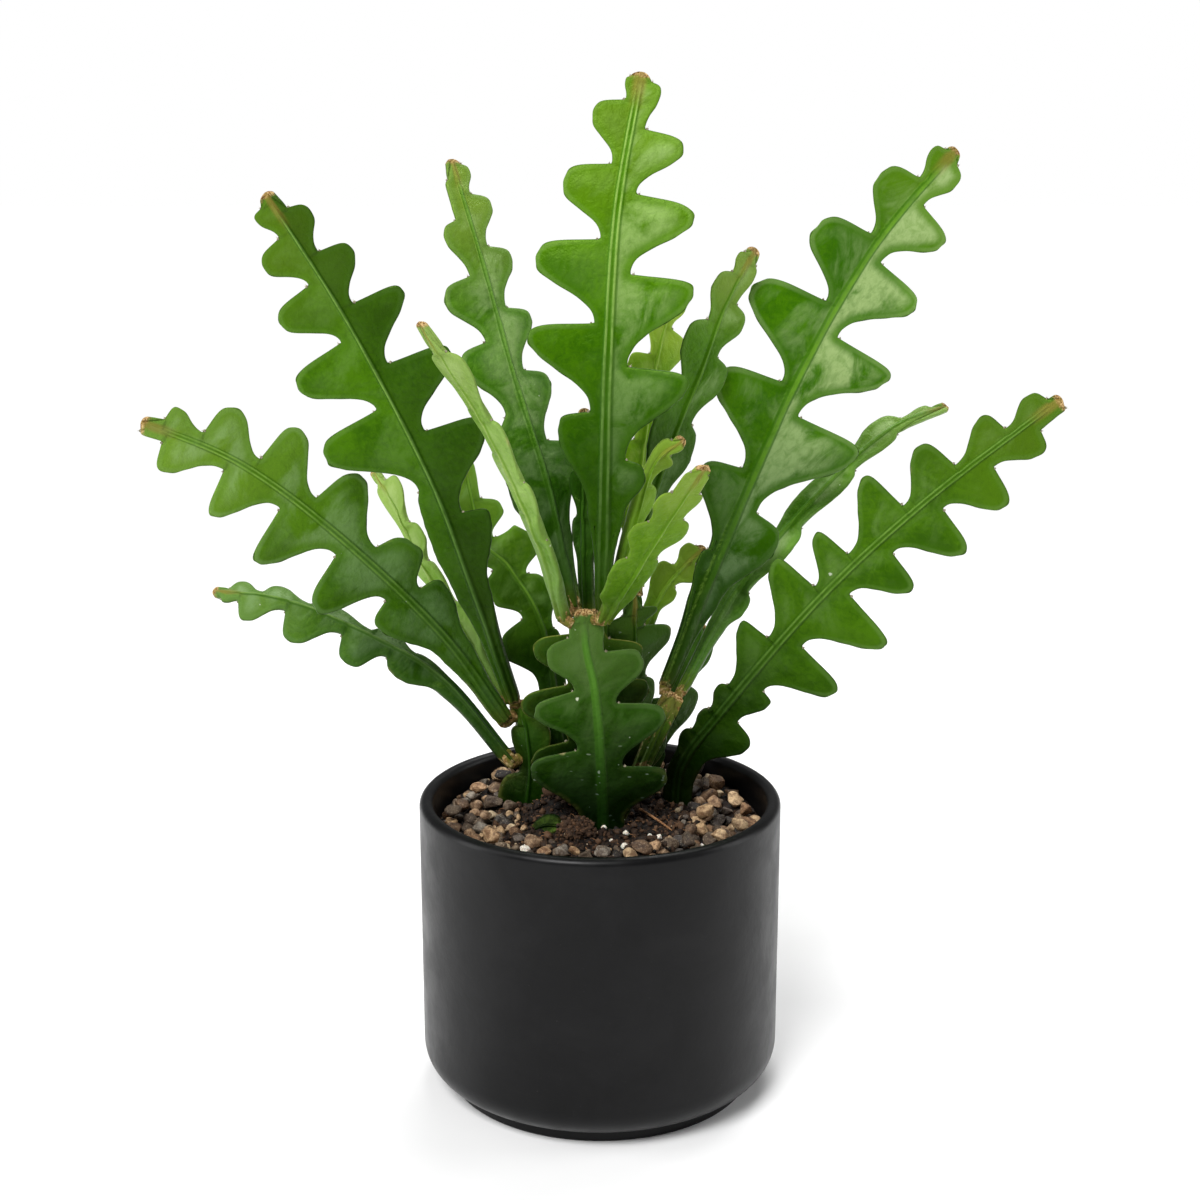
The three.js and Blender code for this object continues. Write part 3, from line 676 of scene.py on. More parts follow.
def stem_skin(made, look, across, edge, to_tip, rib):
    """The blade's greens, from its middle to its margin and tip, with the waxen coat and painted
    sheen.
    """
    broad = made.noise(24)
    middle = made.noise(6, 3, 0.6, 0.5)
    leather = made.noise(2.1, 3, 0.62, 0.4)
    tone = made.plus(made.times(broad, 0.62), made.times(leather, 0.38))
    made.color = made.mix(made.step(tone, 0.38, 0.62), look.deep, look.bright)
    made.paint(look.tip, made.step(to_tip, 4, look.tip_run, (0.9, 0)))
    made.paint(look.margin, made.step(edge, 0.6, 4.5, (1, 0)), 0.25)

    # Painted sheen: pale patches, more on one half, for the light's soft reflection, over the waxen
    # coat.
    slanted = made.stretched((0, 34, 18), (1, 1, 1.7))
    half = made.step(rib, -1.5, 1.5, look.waxed)
    cover = made.plus(made.noise(15, 5, 0.6, 0.8, slanted), made.times(half, 0.12))
    patch = made.step(cover, 0.47, 0.66)
    flakes = made.step(made.noise(2.2, 4, 0.65, 0.5, slanted), 0.3, 0.62, (0.6, 1))
    inside = made.step(edge, 0.6, 5)
    near = made.step(made.away(across), *look.wax_out, (1, 0.15))
    bloom_and_sheen = made.times(patch, flakes, half, inside, near)
    made.paint(look.wax, bloom_and_sheen)
    return middle, leather, bloom_and_sheen


def stem_rib(made, look, from_joint, rib, to_tip):
    """The midrib: a band with one or two raised pale lines and dark grooves beside them."""
    from_rib = made.away(rib)
    shown = made.times(made.step(to_tip, 4, 15), made.step(from_joint, 6, 42, (0.3, 1)))
    worn = made.step(made.noise(5, 3, 0.6), 0.3, 0.6, (0.45, 1))
    if look.channel:
        raised = made.band(from_rib, 0.62, 0.15, 0.16)
        grooves = made.band(from_rib, 0, 0.06, 0.16), made.band(from_rib, 1.15, 0.06, 0.22)
    else:
        raised = made.band(rib, 0.12, 0.3, 0.3)
        grooves = made.band(rib, 0.95, 0.06, 0.26), made.band(rib, -0.8, 0.1, 0.24)
    made.paint(look.rib, made.band(from_rib, 0, 0.85, 0.35), shown, look.ribbed)
    made.paint(look.ridge, raised, shown, worn, 0.85)
    for groove in grooves:
        made.paint(look.deep, groove, shown, look.grooved)


def stem_edge(made, look, across, edge):
    """The pale light along the edge, its thin outline and cork on stretches of it."""
    # Painted highlight: a pale band just inside the edge, larger at the lobes' ends and on old stems.
    lobe_end = made.step(made.away(across), 8, 24, (0.6, 1.5))
    made.paint(look.wax, made.band(edge, 0.8, 0.3, 1.1), lobe_end, 0.2 + 0.2 * look.aged)
    broken = made.step(made.noise(3, 2, 0.6), 0.35, 0.6, (0.4, 1))
    made.paint(look.line, made.step(edge, 0.05, 0.4, (1, 0)), broken, 0.55)
    spread = 0.04 * look.aged
    patchy = made.step(made.noise(16), 0.66 - spread, 0.72 - spread)
    made.paint(CORK_PALE, made.step(edge, 0.25, 1, (1, 0)), patchy, look.aged)


def stem_marks(made, aged):
    """Pale specks, and upright scratches low on the oldest stems."""
    blurred = made.times(made.noise(0.8), 0.16)
    for apart, size, share in SPECKS:
        distance, color = made.cells(apart)
        picked = made.step(made.share_of(color, 0), 0.99 - share * aged, 1 - share * aged)
        spot = made.step(made.plus(distance, blurred), size, size + 0.06, (1, 0))
        made.paint(SPECK, spot, picked)
    if aged < 1:
        return
    height = made.node("SeparateXYZ", Vector=made.place).outputs[2]
    distance, color = made.cells(2, made.stretched((0, 6, 0), (2.8, 1, 1)))
    scratch = made.step(distance, 0.08, 0.2, (1, 0))
    chosen = made.step(made.share_of(color, 0), 0.52, 0.54)
    low = made.step(height, 0.119, 0.136, (0.8, 0))
    made.paint(SPECK, scratch, chosen, low)


def stem_material(name, look):
    """Satin plant skin: greens, midrib, waxen coat with painted sheen, margin, outline, cork and pale
    specks.
    """
    made = Shader("stem_" + name, IOR=1.38, Specular_IOR_Level=0.36, Specular_Tint=SHEEN)
    across, from_joint, edge = made.vector("blade")
    rib, to_tip, dusk = made.vector("rib")
    middle, leather, bloom_and_sheen = stem_skin(made, look, across, edge, to_tip, rib)
    stem_rib(made, look, from_joint, rib, to_tip)
    stem_edge(made, look, across, edge)
    if look.aged:
        stem_marks(made, look.aged)
    cork, grain = corky(made)
    if look.scarred:
        peel = made.noise(4.5, 4, 0.65, 0.6, made.stretched((0, 32, 0), (1, 1, 1.8)))
        made.paint(cork, made.step(peel, 0.54, 0.6))

    ragged = made.plus(from_joint, made.times(made.noise(3.4, 4, 0.7, 0.5), 11))
    made.paint(JOINT_GREEN, made.step(ragged, 7, 17, (0.6, 0)))
    foot = made.times(made.band(from_joint, FAR, 14, 12), made.step(edge, 0.3, 2.4, (1, 0)))
    made.paint(FOOT_TAN, foot, made.step(made.noise(5, 3, 0.6), 0.42, 0.58), 0.8)
    # Painted light and shade: darker towards the root, lighter or darker on each half.
    shade = made.node("CombineColor", Red=made.math("POWER", dusk, 1.2), Green=dusk, Blue=dusk)
    made.color = made.mix(1, made.color, shade.outputs["Color"], "MULTIPLY")

    torn = made.plus(to_tip, made.times(made.noise(2.4, 3, 0.7), 3.6))
    at_tip = made.step(torn, 2.8, 4.4, (1, 0))
    made.paint(made.mix(made.step(grain, 0.4, 0.6), TUFT_DARK, TUFT_PALE), at_tip)
    made.paint(TAN, made.step(to_tip, 4, 15, (look.tanned, 0)), made.band(rib, 0, 0.9, 1.8))
    made.paint(cork, made.step(ragged, 4.2, 7.2, (0.85, 0)))

    rough = made.step(middle, 0.3, 0.7, (0.36, 0.46))
    rough = made.plus(rough, made.times(bloom_and_sheen, 0.06))
    rough = made.plus(rough, made.times(at_tip, 0.35))
    made.relief((middle, 0.5), (leather, 0.32), (made.noise(1, 3, 0.6), 0.06), (grain, 0.014))
    return made.finish(rough)


def pot_material():
    """Black satin glaze, with faint clouds, fine pitting and a little dust."""
    made = Shader("pot_glaze", IOR=1.34, Specular_IOR_Level=0.34)
    clouds = made.noise(30, 4, 0.6, 0.5)
    made.color = made.mix(made.step(clouds, 0.35, 0.7), srgb(6, 6, 7), srgb(14, 14, 15))
    made.paint(srgb(74, 72, 70), made.step(made.noise(1, 3, 0.75), 0.66, 0.78), 0.25)
    rough = made.step(made.noise(12, 4, 0.6), 0.3, 0.7, (0.32, 0.42))
    distance, _ = made.cells(1.6)
    pits = made.step(distance, 0.05, 0.35)
    made.relief((clouds, 0.25), (made.noise(3, 3, 0.6), 0.03), (pits, 0.006))
    return made.finish(rough)


def soil_material():
    """Damp dark potting mix: brown, painted near black in the hollows as shade, with pale fibres."""
    made = Shader("potting_mix", IOR=1.35)
    lumps = made.noise(3.2, 4, 0.65)
    # Painted shade: near black where the lumps' relief is low.
    made.color = made.mix(made.step(lumps, 0.38, 0.7), srgb(9, 5, 3), srgb(38, 24, 15))
    grain = made.noise(0.8, 3, 0.7)
    made.paint(srgb(124, 88, 60), made.step(grain, 0.58, 0.74))
    made.paint(srgb(116, 84, 58), made.vector("shade")[0], 0.55)
    distance, color = made.cells(1.9)
    fleck = made.step(distance, 0.08, 0.16, (1, 0))
    made.paint(srgb(196, 176, 146), fleck, made.step(made.share_of(color, 1), 0.9, 0.93))
    rough = made.step(lumps, 0.3, 0.7, (0.62, 0.92))
    made.relief((lumps, 0.5), (grain, 0.16), (made.noise(0.35, 2, 0.7), 0.06))
    return made.finish(rough)


STONE_SHADES = [
    (192, 160, 120), (162, 134, 104), (118, 102, 84), (80, 76, 73), (216, 194, 158),
    (146, 112, 80), (106, 96, 88), (58, 55, 54), (186, 152, 116), (136, 128, 116),
    (90, 76, 62), (208, 178, 138), (68, 62, 58), (124, 98, 74),
]


def stone_material():
    """Weathered gravel: own shade per stone, pores, stains and pale specks, partly painted shade and
    highlight.
    """
    made = Shader("gravel", IOR=1.4)
    blotch = made.noise(2.6, 4, 0.65, 0.3)
    # Stains, partly painted shade: darker where the relief dips.
    stain_and_shade = made.step(blotch, 0.68, 0.34)
    made.color = made.mix(stain_and_shade, made.attribute("shade"), srgb(138, 120, 106), "MULTIPLY")
    grain = made.noise(0.55, 3, 0.7)
    # Pale specks on the grain's tops, partly painted highlight; then darker where the grain is low.
    made.paint(srgb(214, 196, 166), made.step(grain, 0.56, 0.74, (0, 0.5)))
    made.paint(srgb(58, 46, 40), made.step(grain, 0.5, 0.36), 0.5)
    rough = made.step(blotch, 0.3, 0.7, (0.6, 0.85))
    distance, _ = made.cells(0.9)
    pores = made.step(distance, 0.12, 0.3)
    made.relief((blotch, 0.35), (grain, 0.14), (pores, 0.07))
    return made.finish(rough)


def cork_material():
    """Dry, cracked skin where shoots join, tan and brown with some green left."""
    made = Shader("cork", IOR=1.3, Specular_IOR_Level=0.3)
    made.color, grain = corky(made)
    made.paint(srgb(86, 88, 24), made.step(made.noise(2.6, 3, 0.6, 0.4), 0.42, 0.6), 0.85)
    made.relief((made.noise(2.4, 4, 0.65, 0.4), 0.2), (grain, 0.06))
    return made.finish(0.8)


def grained(made, grain, most, colors, depth, rough):
    """A material of one grain that runs from the first colour to the second, up to most."""
    made.color = made.mix(made.step(grain, 0.35, most), *(srgb(*color) for color in colors))
    made.relief((grain, depth))
    return made.finish(rough)


def perlite_material():
    made = Shader("perlite", IOR=1.3, Subsurface_Weight=0.1, Subsurface_Scale=0.001)
    froth = made.noise(0.5, 3, 0.6)
    return grained(made, froth, 0.6, ((176, 164, 146), (226, 220, 208)), 0.12, 0.8)


def felt_material():
    """The grey-tan felt of an areole."""
    made = Shader("areole_felt", IOR=1.3)
    fluff = made.noise(0.4, 3, 0.7)
    return grained(made, fluff, 0.65, ((84, 78, 58), (168, 162, 138)), 0.15, 0.95)


def twig_material():
    made = Shader("twig", IOR=1.35)
    streak = made.noise(0.6, 3, 0.6, 0, made.stretched((0, 0, 30), (0.2, 1, 1)))
    return grained(made, streak, 0.65, ((84, 52, 32), (166, 122, 82)), 0.08, 0.8)


# ---- Stems ----

EDGE_STEP = 1.3  # along the edge where it is straight, closer where it turns
MOST_STEP = 1.2  # along the midrib
CURVE_STEPS = 48  # from one point of a midrib to the next
LOBE_STEPS = 40  # along each side of a lobe
CORNER = 4  # a turn of one radian gets as many rows as this many straight millimetres
TIP_ROWS = (1.5, 1.1, 0.75, 0.45, 0.22, 0.07, 0)  # before the very tip, for its rounding
TIP_ROUND = 1.6
RIB_COLUMNS = (0, 0.3, 0.6, 0.85, 1.05, 1.35, 1.8)  # shares of the midrib's half width
EDGE_COLUMNS = (1.7, 1.1, 0.65, 0.32, 0.1, 0)  # millimetres inside the edge
BODY_COLUMNS = 6
CHANNELLED = (0.6, 0.7, 1, 0.8, 0.25, -0.1, 0)  # the midrib's height at RIB_COLUMNS
RIDGED = (1, 0.95, 0.78, 0.5, 0.18, -0.1, 0)
RIB_RISE = 0.4  # how high the midrib stands, as a share of half the blade's thickness
RIB_END = 10  # how far from the tip it gets lower
RIB_HALF = (1.9, 1)  # the widest midrib's half width at the root and at the tip
EDGE_ROUND = 1.1  # radius of the blade's edge
WAVE, WAVE_REACH = 0.75, 22  # how far lobes of this reach sway to the front and back
DROOP, DROOP_REACH = 1.2, 26  # how far their ends bend back
STALKY = (7, 3.5)  # reaches between which a blade turns into a round stalk
PUFF = 0.42  # how thick the blade is at its edge, as a share of its thickness inside
PUFF_RUN = 9  # how far in it reaches its full thickness
WAIST = 0.8  # how much of its width a shoot keeps at its root
WAIST_LENGTH = 5
FAR = 1000  # added to the distance from the joint on a rooted stem, which has none
SOIL_PAINTED_SHADE = 0.3  # painted shade: how much of its colour a rooted stem keeps at the soil
# Painted shade: a rooted stem's fades out between these heights, a shoot's goes by its length.
PAINTED_SHADE_HEIGHTS = (102, 152)
SHOOT_PAINTED_SHADE = (0.55, 0, 0.5)


def ripple(at, seed, *waves):
    """Sines added up, each as (height, how fast it goes, how far the seed shifts it)."""
    return sum(height * np.sin(pace * at + shift * seed) for height, pace, shift in waves)


def looked_up(values, marks, at):
    """Rows of values that belong to rising marks, at other places between them."""
    return np.stack([np.interp(at, marks, v) for v in values.T], axis=-1)


class Line:
    """A polyline that is asked for points by the distance along it."""

    def __init__(self, points):
        self.points = np.asarray(points, float)
        steps = np.linalg.norm(np.diff(self.points, axis=0), axis=1)
        self.marks = np.concatenate([[0], np.cumsum(steps)])
        self.length = self.marks[-1]
        self.ways = np.gradient(self.points, self.marks, axis=0)
        headings = np.diff(self.points, axis=0) / steps[:, None]
        cosines = np.clip((headings[:-1] * headings[1:]).sum(1), -1, 1)
        bends = np.concatenate([[0], np.arccos(cosines), [0]])
        weights = steps + CORNER * (bends[:-1] + bends[1:]) / 2
        self.paces = np.concatenate([[0], np.cumsum(weights)])

    def paced(self, share):
        """Points at shares of the way, closer together where the line turns."""
        return looked_up(self.points, self.paces, share * self.paces[-1])

    def at(self, distance):
        return looked_up(self.points, self.marks, distance)

    def way_at(self, distance):
        return unit(looked_up(self.ways, self.marks, distance))


def catmull_rom(points, mirrored=True):
    """Fine points on a smooth curve through the given ones."""
    p = np.asarray(points, float)
    before = 2 * p[0] - p[1] if mirrored else p[0]
    after = 2 * p[-1] - p[-2] if mirrored else p[-1]
    p = np.vstack([before, p, after])
    t = np.linspace(0, 1, CURVE_STEPS, endpoint=False)[:, None]
    runs = [
        (2 * b + (c - a) * t + (2 * a - 5 * b + 4 * c - d) * t**2 + (3 * b - a - 3 * c + d) * t**3) / 2
        for a, b, c, d in zip(p, p[1:], p[2:], p[3:])
    ]
    return np.vstack([*runs, p[-2:-1]])


def bezier(a, b, c, d):
    t = np.linspace(0, 1, LOBE_STEPS)[:, None]
    a, b, c, d = (np.asarray(x, float) for x in (a, b, c, d))
    return a * (1 - t) ** 3 + 3 * b * t * (1 - t) ** 2 + 3 * c * t**2 * (1 - t) + d * t**3


class Stem:
    """The values of a stem's row, with its midrib and its left and its right edge."""

    def __init__(self, index, row):
        vars(self).update({**USUAL_STEM, **row})
        self.index = index
        self.style = LOOKS[self.look]
        self.midrib = Line(catmull_rom(self.spine))
        self.length = self.midrib.length
        self.edges = [self.edge(self.left, self.notch[0]), self.edge(self.right, self.notch[1])]

    def edge(self, lobes, notch):
        """An edge as one Line of (along, reach) from each notch to the next."""
        last = (self.stalk, notch)
        if self.rooted:
            stalk = [(-ROOT_LENGTH, self.neck), (0, self.neck), last]
        else:
            along, widened = STALK_BEND
            narrow = self.neck + (notch - self.neck) * widened
            stalk = [(0, self.neck), (along * self.stalk, narrow), last]
        stretches = [Line(catmull_rom(stalk, mirrored=False))]
        for lobe in lobes:
            along, reach, lean = (*lobe, LEAN)[:3]
            notch_at = min(along + lean, self.length - END_ROOM)
            narrowed = notch * (1 - NOTCH_NARROWING * (notch_at / self.length) ** 3)
            shallowest = NOTCH_LIMIT[0] * reach + NOTCH_LIMIT[1]
            after = (notch_at, max(self.tip, min(narrowed, shallowest)))
            rise = (along - last[0], reach - last[1])
            fall = (after[0] - along, after[1] - reach)
            up = bezier(
                last,
                (last[0] + RISE_LEAVE * rise[0], last[1] - RISE_DIP * rise[1]),
                (along - RISE_ARRIVE * rise[0], reach),
                (along, reach),
            )
            down = bezier(
                (along, reach),
                (along + FALL_LEAVE * fall[0] - FALL_BULGE * fall[1], reach),
                (after[0] - FALL_ARRIVE * fall[0], after[1] - FALL_DROP * fall[1]),
                after,
            )
            stretches.append(Line(np.vstack([up, down[1:]])))
            last = after
        if last[0] < self.length - END_ROOM:
            stretches.append(Line([last, (self.length, self.tip)]))
        return stretches

    def frame_at(self, along):
        """Place, way to the tip, facing and side of the midrib at each distance along it."""
        inside = np.clip(along, 0, self.length)
        tangent = self.midrib.way_at(inside)
        turn, tilt = (math.radians(a) for a in self.face)
        facing = np.array(
            [math.sin(turn) * math.cos(tilt), -math.cos(turn) * math.cos(tilt), math.sin(tilt)]
        )
        facing = unit(facing - (tangent @ facing)[..., None] * tangent)
        place = self.midrib.at(inside) + tangent * (along - inside)[..., None]
        return place, tangent, facing, np.cross(tangent, facing)


def edge_points(stretches, along):
    """The outline point of each row: rows spread evenly over each stretch."""
    found = np.tile(stretches[-1].points[-1], (len(along), 1))
    for stretch in reversed(stretches):
        start, end = stretch.points[0, 0], stretch.points[-1, 0]
        share = np.clip((along - start) / (end - start), 0, 1)
        here = along <= end
        found[here] = stretch.paced(share[here])
    return found


def row_places(stem):
    """Distances along the midrib, close where an edge runs far out or turns."""
    start = -ROOT_LENGTH if stem.rooted else 0
    fine = np.linspace(start, stem.length - TIP_ROWS[0], 2000)
    density = np.full(len(fine), 1 / MOST_STEP)
    for stretch in stem.edges[0] + stem.edges[1]:
        first, last = stretch.points[0, 0], stretch.points[-1, 0]
        here = (fine >= first) & (fine <= last)
        density[here] = np.maximum(density[here], stretch.paces[-1] / (last - first) / EDGE_STEP)
    total = np.concatenate([[0], np.cumsum((density[1:] + density[:-1]) / 2 * np.diff(fine))])
    rows = np.interp(np.linspace(0, total[-1], int(total[-1])), total, fine)
    return np.concatenate([rows, stem.length - np.array(TIP_ROWS[1:])])


def distance_to(outline, points):
    """How far each point of the blade's plane is from its outline."""
    starts, ways = outline[:-1], np.diff(outline, axis=0)
    squares = np.maximum((ways**2).sum(1), 1e-9)
    nearest = np.empty(len(points))
    for block in np.array_split(np.arange(len(points)), max(1, len(points) // 2000)):
        off = points[block, None, :] - starts[None]
        share = np.clip((off * ways).sum(2) / squares, 0, 1)
        gap = off - share[..., None] * ways
        nearest[block] = np.sqrt((gap**2).sum(2).min(1))
    return nearest


def thickness(stem, rows, reach, blunt, gap):
    """Half the blade's thickness at each point, with its midrib and its rounded edge."""
    share = np.clip(rows / stem.length, 0, 1)
    thick = np.interp(share**2, (0, 1), (RIB_THICK, stem.end_thick))[:, None] / 2
    stalky = smoothstep(reach, *STALKY)[:, None]
    puffed = PUFF + (1 - PUFF) * smoothstep(gap, 0, PUFF_RUN)
    fat = thick * (0.8 + 0.1 * stalky) * np.maximum(puffed, 0.95 * stalky)
    round_off = np.clip(gap / (EDGE_ROUND * np.minimum(1, reach / 3))[:, None], 0, 1)
    fat = np.maximum(fat * np.sqrt(1 - (1 - round_off) ** 2), 0)
    height = np.zeros_like(gap)
    height[:, : len(RIB_COLUMNS)] = CHANNELLED if stem.style.channel else RIDGED
    fat = fat + height * thick * RIB_RISE * smoothstep(stem.length - rows, 0, RIB_END)[:, None]
    return fat * blunt[:, None]


def half_blade(stem, rows, side):
    """The front and the back of a stem's left (0) or right (1) half, as rows of points from
    the midrib to the edge. A point holds its place and the attributes blade and rib."""
    sign = (-1, 1)[side]
    seed = 1.3 * stem.index + 0.7 * side
    edge = edge_points(stem.edges[side], rows)
    past_round = 1 - np.clip(1 - (stem.length - rows) / TIP_ROUND, 0, 1) ** 2
    blunt = np.sqrt(np.clip(past_round, 0.004, 1))
    uneven = 1 + ripple(edge[:, 0], seed, (0.012, 0.55, 1), (0.008, 1.3, 2))
    reach = edge[:, 1] * uneven * blunt
    if not stem.rooted:
        reach = reach * (WAIST + (1 - WAIST) * smoothstep(rows, 0, WAIST_LENGTH))
    share = np.clip(rows / stem.length, 0, 1)
    rib_half = np.interp(share, (0, 1), RIB_HALF) * np.minimum(1, reach / 4)
    rib_half = (rib_half * stem.style.rib_width)[:, None]

    from_rib = rib_half * np.array(RIB_COLUMNS)
    from_edge = reach[:, None] - np.minimum(1, reach / 5)[:, None] * np.array(EDGE_COLUMNS)
    between = np.linspace(0, 1, BODY_COLUMNS + 2)[1:-1]
    body = from_rib[:, -1:] + (from_edge[:, :1] - from_rib[:, -1:]) * between
    out = np.hstack([from_rib, body, from_edge])
    along = rows[:, None] + (edge[:, :1] - rows[:, None]) * out / reach[:, None]

    outline = np.vstack([s.points[::3] for s in stem.edges[side]] + [[[stem.length, 0]]])
    flat = np.stack([along.ravel(), out.ravel()], axis=1)
    gap = distance_to(outline, flat).reshape(out.shape)
    gap[:, -1] = 0
    fat = thickness(stem, rows, reach, blunt, gap)
    lobe_wave = ripple(along, seed, (1, 1 / 13, 2.1), (0.6, 1 / 7.3, 3.7))
    sway = WAVE * lobe_wave * np.clip(out / WAVE_REACH, 0, 1.3) ** 1.5
    sway = sway - DROOP * np.clip(out / DROOP_REACH, 0, 1.3) ** 2.5

    place, _, facing, sideways = stem.frame_at(along)
    # Painted light and shade: darker towards the soil or root, times how light each half is painted.
    if stem.dusk is None and stem.rooted:
        least, lit = SOIL_PAINTED_SHADE, smoothstep(place[..., 2], *PAINTED_SHADE_HEIGHTS)
    else:
        least, first, last = stem.dusk or SHOOT_PAINTED_SHADE
        lit = smoothstep(along / stem.length, first, last)
    dusk = stem.halves[side] * (least + (1 - least) * lit)
    from_joint = along + FAR * stem.rooted
    facts = [sign * out, from_joint, gap, sign * out / rib_half, stem.length - along, dusk]
    fold = math.radians(stem.fold)
    place = place + (sideways * sign * math.cos(fold) + facing * math.sin(fold)) * out[..., None]
    return [
        np.dstack([place + facing * (sway + face * fat)[..., None], *facts]) for face in (1, -1)
    ]


def blade(stem, material):
    """The whole stem as one closed mesh of rings from its root to its tip."""
    rows = row_places(stem)
    (front_left, back_left), (front_right, back_right) = (half_blade(stem, rows, i) for i in (0, 1))
    grid = np.hstack(
        [front_left[:, ::-1], front_right[:, 1:], back_right[:, -2::-1], back_left[:, 1:-1]]
    )
    rings, sides = grid.shape[:2]
    faces = bands(rings, sides)
    for base, flip in ((0, True), ((rings - 1) * sides, False)):
        for i in range(sides // 2):
            a, b = base + i, base + i + 1
            c, d = base + (sides - i - 1) % sides, base + (sides - i) % sides
            corners = list(dict.fromkeys((a, b, c, d)))
            if len(corners) > 2:
                faces.append(corners[::-1] if flip else corners)
    points, blade_facts, rib_facts = np.split(grid.reshape(-1, 9), 3, axis=1)
    name, slot = stem.name + "_blade", stem.style.slot
    piece(name, points, faces, material, slot, stem.name, blade=blade_facts, rib=rib_facts)
    return points


# ---- Joints and areoles ----

JOINT_ROWS = 18
JOINT_SIDES = 32
JOINT_REACH = 4.2  # how far the joint's skin runs along the shoot from its root
JOINT_DEPTH = 1.3  # how far it runs into the parent
JOINT_SKIN = (0.16, -0.14)  # how far it stands out of the shoot at the root and at its end
JOINT_TAPER = 0.9  # how much of its width it keeps where it meets the parent
JOINT_THICK = 0.9  # its thickness at the root, as a share of a stem's


def joint(stem, parent_point, material):
    """The grown joint of a shoot: skin that comes out of its parent and closes over its root."""
    seed = stem.index
    inward = parent_point - stem.midrib.points[0]
    gap = np.linalg.norm(inward)
    inward = inward / gap
    turns = around(JOINT_SIDES)
    ragged = 1 + ripple(turns, seed, (0.12, 2, 1), (0.07, 5, 2.3))
    flare = (max(stem.notch) - stem.neck) * STALK_BEND[1] / stem.stalk
    facing = None
    points = []
    for mark in np.linspace(JOINT_REACH, -gap - JOINT_DEPTH, JOINT_ROWS):
        above = max(mark, 0)
        place, tangent, front, _ = stem.frame_at(above * ragged)
        place = place + inward * max(-mark, 0)
        turned = smoothstep(mark, 1.0, -1.5)
        way = unit((1 - turned) * tangent[0] - turned * inward)
        facing = front[0] if facing is None else facing
        facing = unit(facing - facing @ way * way)
        skin = JOINT_SKIN[0] + (JOINT_SKIN[1] - JOINT_SKIN[0]) * (above / JOINT_REACH) ** 1.4
        taper = 1 + (JOINT_TAPER - 1) * smoothstep(mark, 0.5, -gap)
        waist = WAIST + (1 - WAIST) * smoothstep(mark, 0, WAIST_LENGTH)
        wide = ((stem.neck + flare * above) * waist + skin) * taper
        deep = (RIB_THICK / 2 * JOINT_THICK + skin) * taper
        lumps = 1 + 0.04 * np.sin(3 * turns + 0.9 * mark + seed) + 0.02 * np.sin(7 * turns + mark)
        ring = loop(np.cross(way, facing) * wide, facing * deep, JOINT_SIDES)
        points.append(place + ring * lumps[:, None])
    points = np.vstack(points)
    points += 0.06 * roughness_of(points, 0.9, seed)[:, None] * np.array([1, -0.6, 0.8])
    faces = [f[::-1] for f in bands(JOINT_ROWS, JOINT_SIDES) + lids(JOINT_ROWS, JOINT_SIDES)]
    piece(stem.name + "_joint", points, faces, material, "stem_bark")


AREOLE_SIZE = 0.5
AREOLE_BACK = 0.04  # share of the lobe's tip-side edge between the tuft and the notch
AREOLE_FALL = 1.5  # a shorter tip-side edge has no tuft
BRISTLE_HALF = 0.09


def areoles(stem, heap, ball, rng):
    """A felt tuft with short bristles at each notch, on the edge of the lobe below it."""
    points, faces = ball
    fold = math.radians(stem.fold)
    for lobes, edge, sign in ((stem.left, stem.edges[0], -1), (stem.right, stem.edges[1], 1)):
        for stretch in edge[1 : len(lobes) + 1]:
            falls = stretch.length - stretch.marks[np.argmax(stretch.points[:, 1])]
            if falls < AREOLE_FALL:
                continue
            mark = stretch.length - AREOLE_BACK * falls
            spot, way = stretch.at(mark), stretch.way_at(mark)
            place, tangent, facing, side = (v[0] for v in stem.frame_at(spot[:1]))
            side = side * sign * math.cos(fold) + facing * math.sin(fold)
            outward = unit(tangent * -way[1] + side * way[0])
            centre = place + side * spot[1] + outward * 0.05
            size = AREOLE_SIZE * rng.uniform(0.75, 1.25)
            lumps = 1 + 0.25 * roughness_of(points, 0.6, rng.uniform(0, 50))[:, None]
            heap.add(centre + points * size * lumps, faces)
            for _ in range(rng.integers(1, 4)):
                lean = unit(outward + 0.6 * rng.uniform(-1, 1, 3))
                bristle(heap, centre, lean, size * rng.uniform(1.6, 2.8))


def bristle(heap, base, way, length):
    """A thin spike with four sides."""
    across = unit(np.cross(way, (0.31, 0.52, 0.8)))
    ring = base + BRISTLE_HALF * loop(across, np.cross(way, across), 4)
    heap.add(np.vstack([ring, base + way * length]), fan(4, 0, 4))


# ---- Pot ----

POT_SIDES = 200
RIM_OUTER = 2.6  # the rim's roundings
RIM_INNER = 2.4
FOOT_GROOVE = (2.6, 4, 0.2)  # where the foot's side turns in, where it is narrowest, how deep
QUARTER = math.pi / 2


def arc(centre, radius, start, end, steps):
    turns = np.linspace(start, end, steps)
    return [(centre[0] + radius * math.cos(t), centre[1] + radius * math.sin(t)) for t in turns]


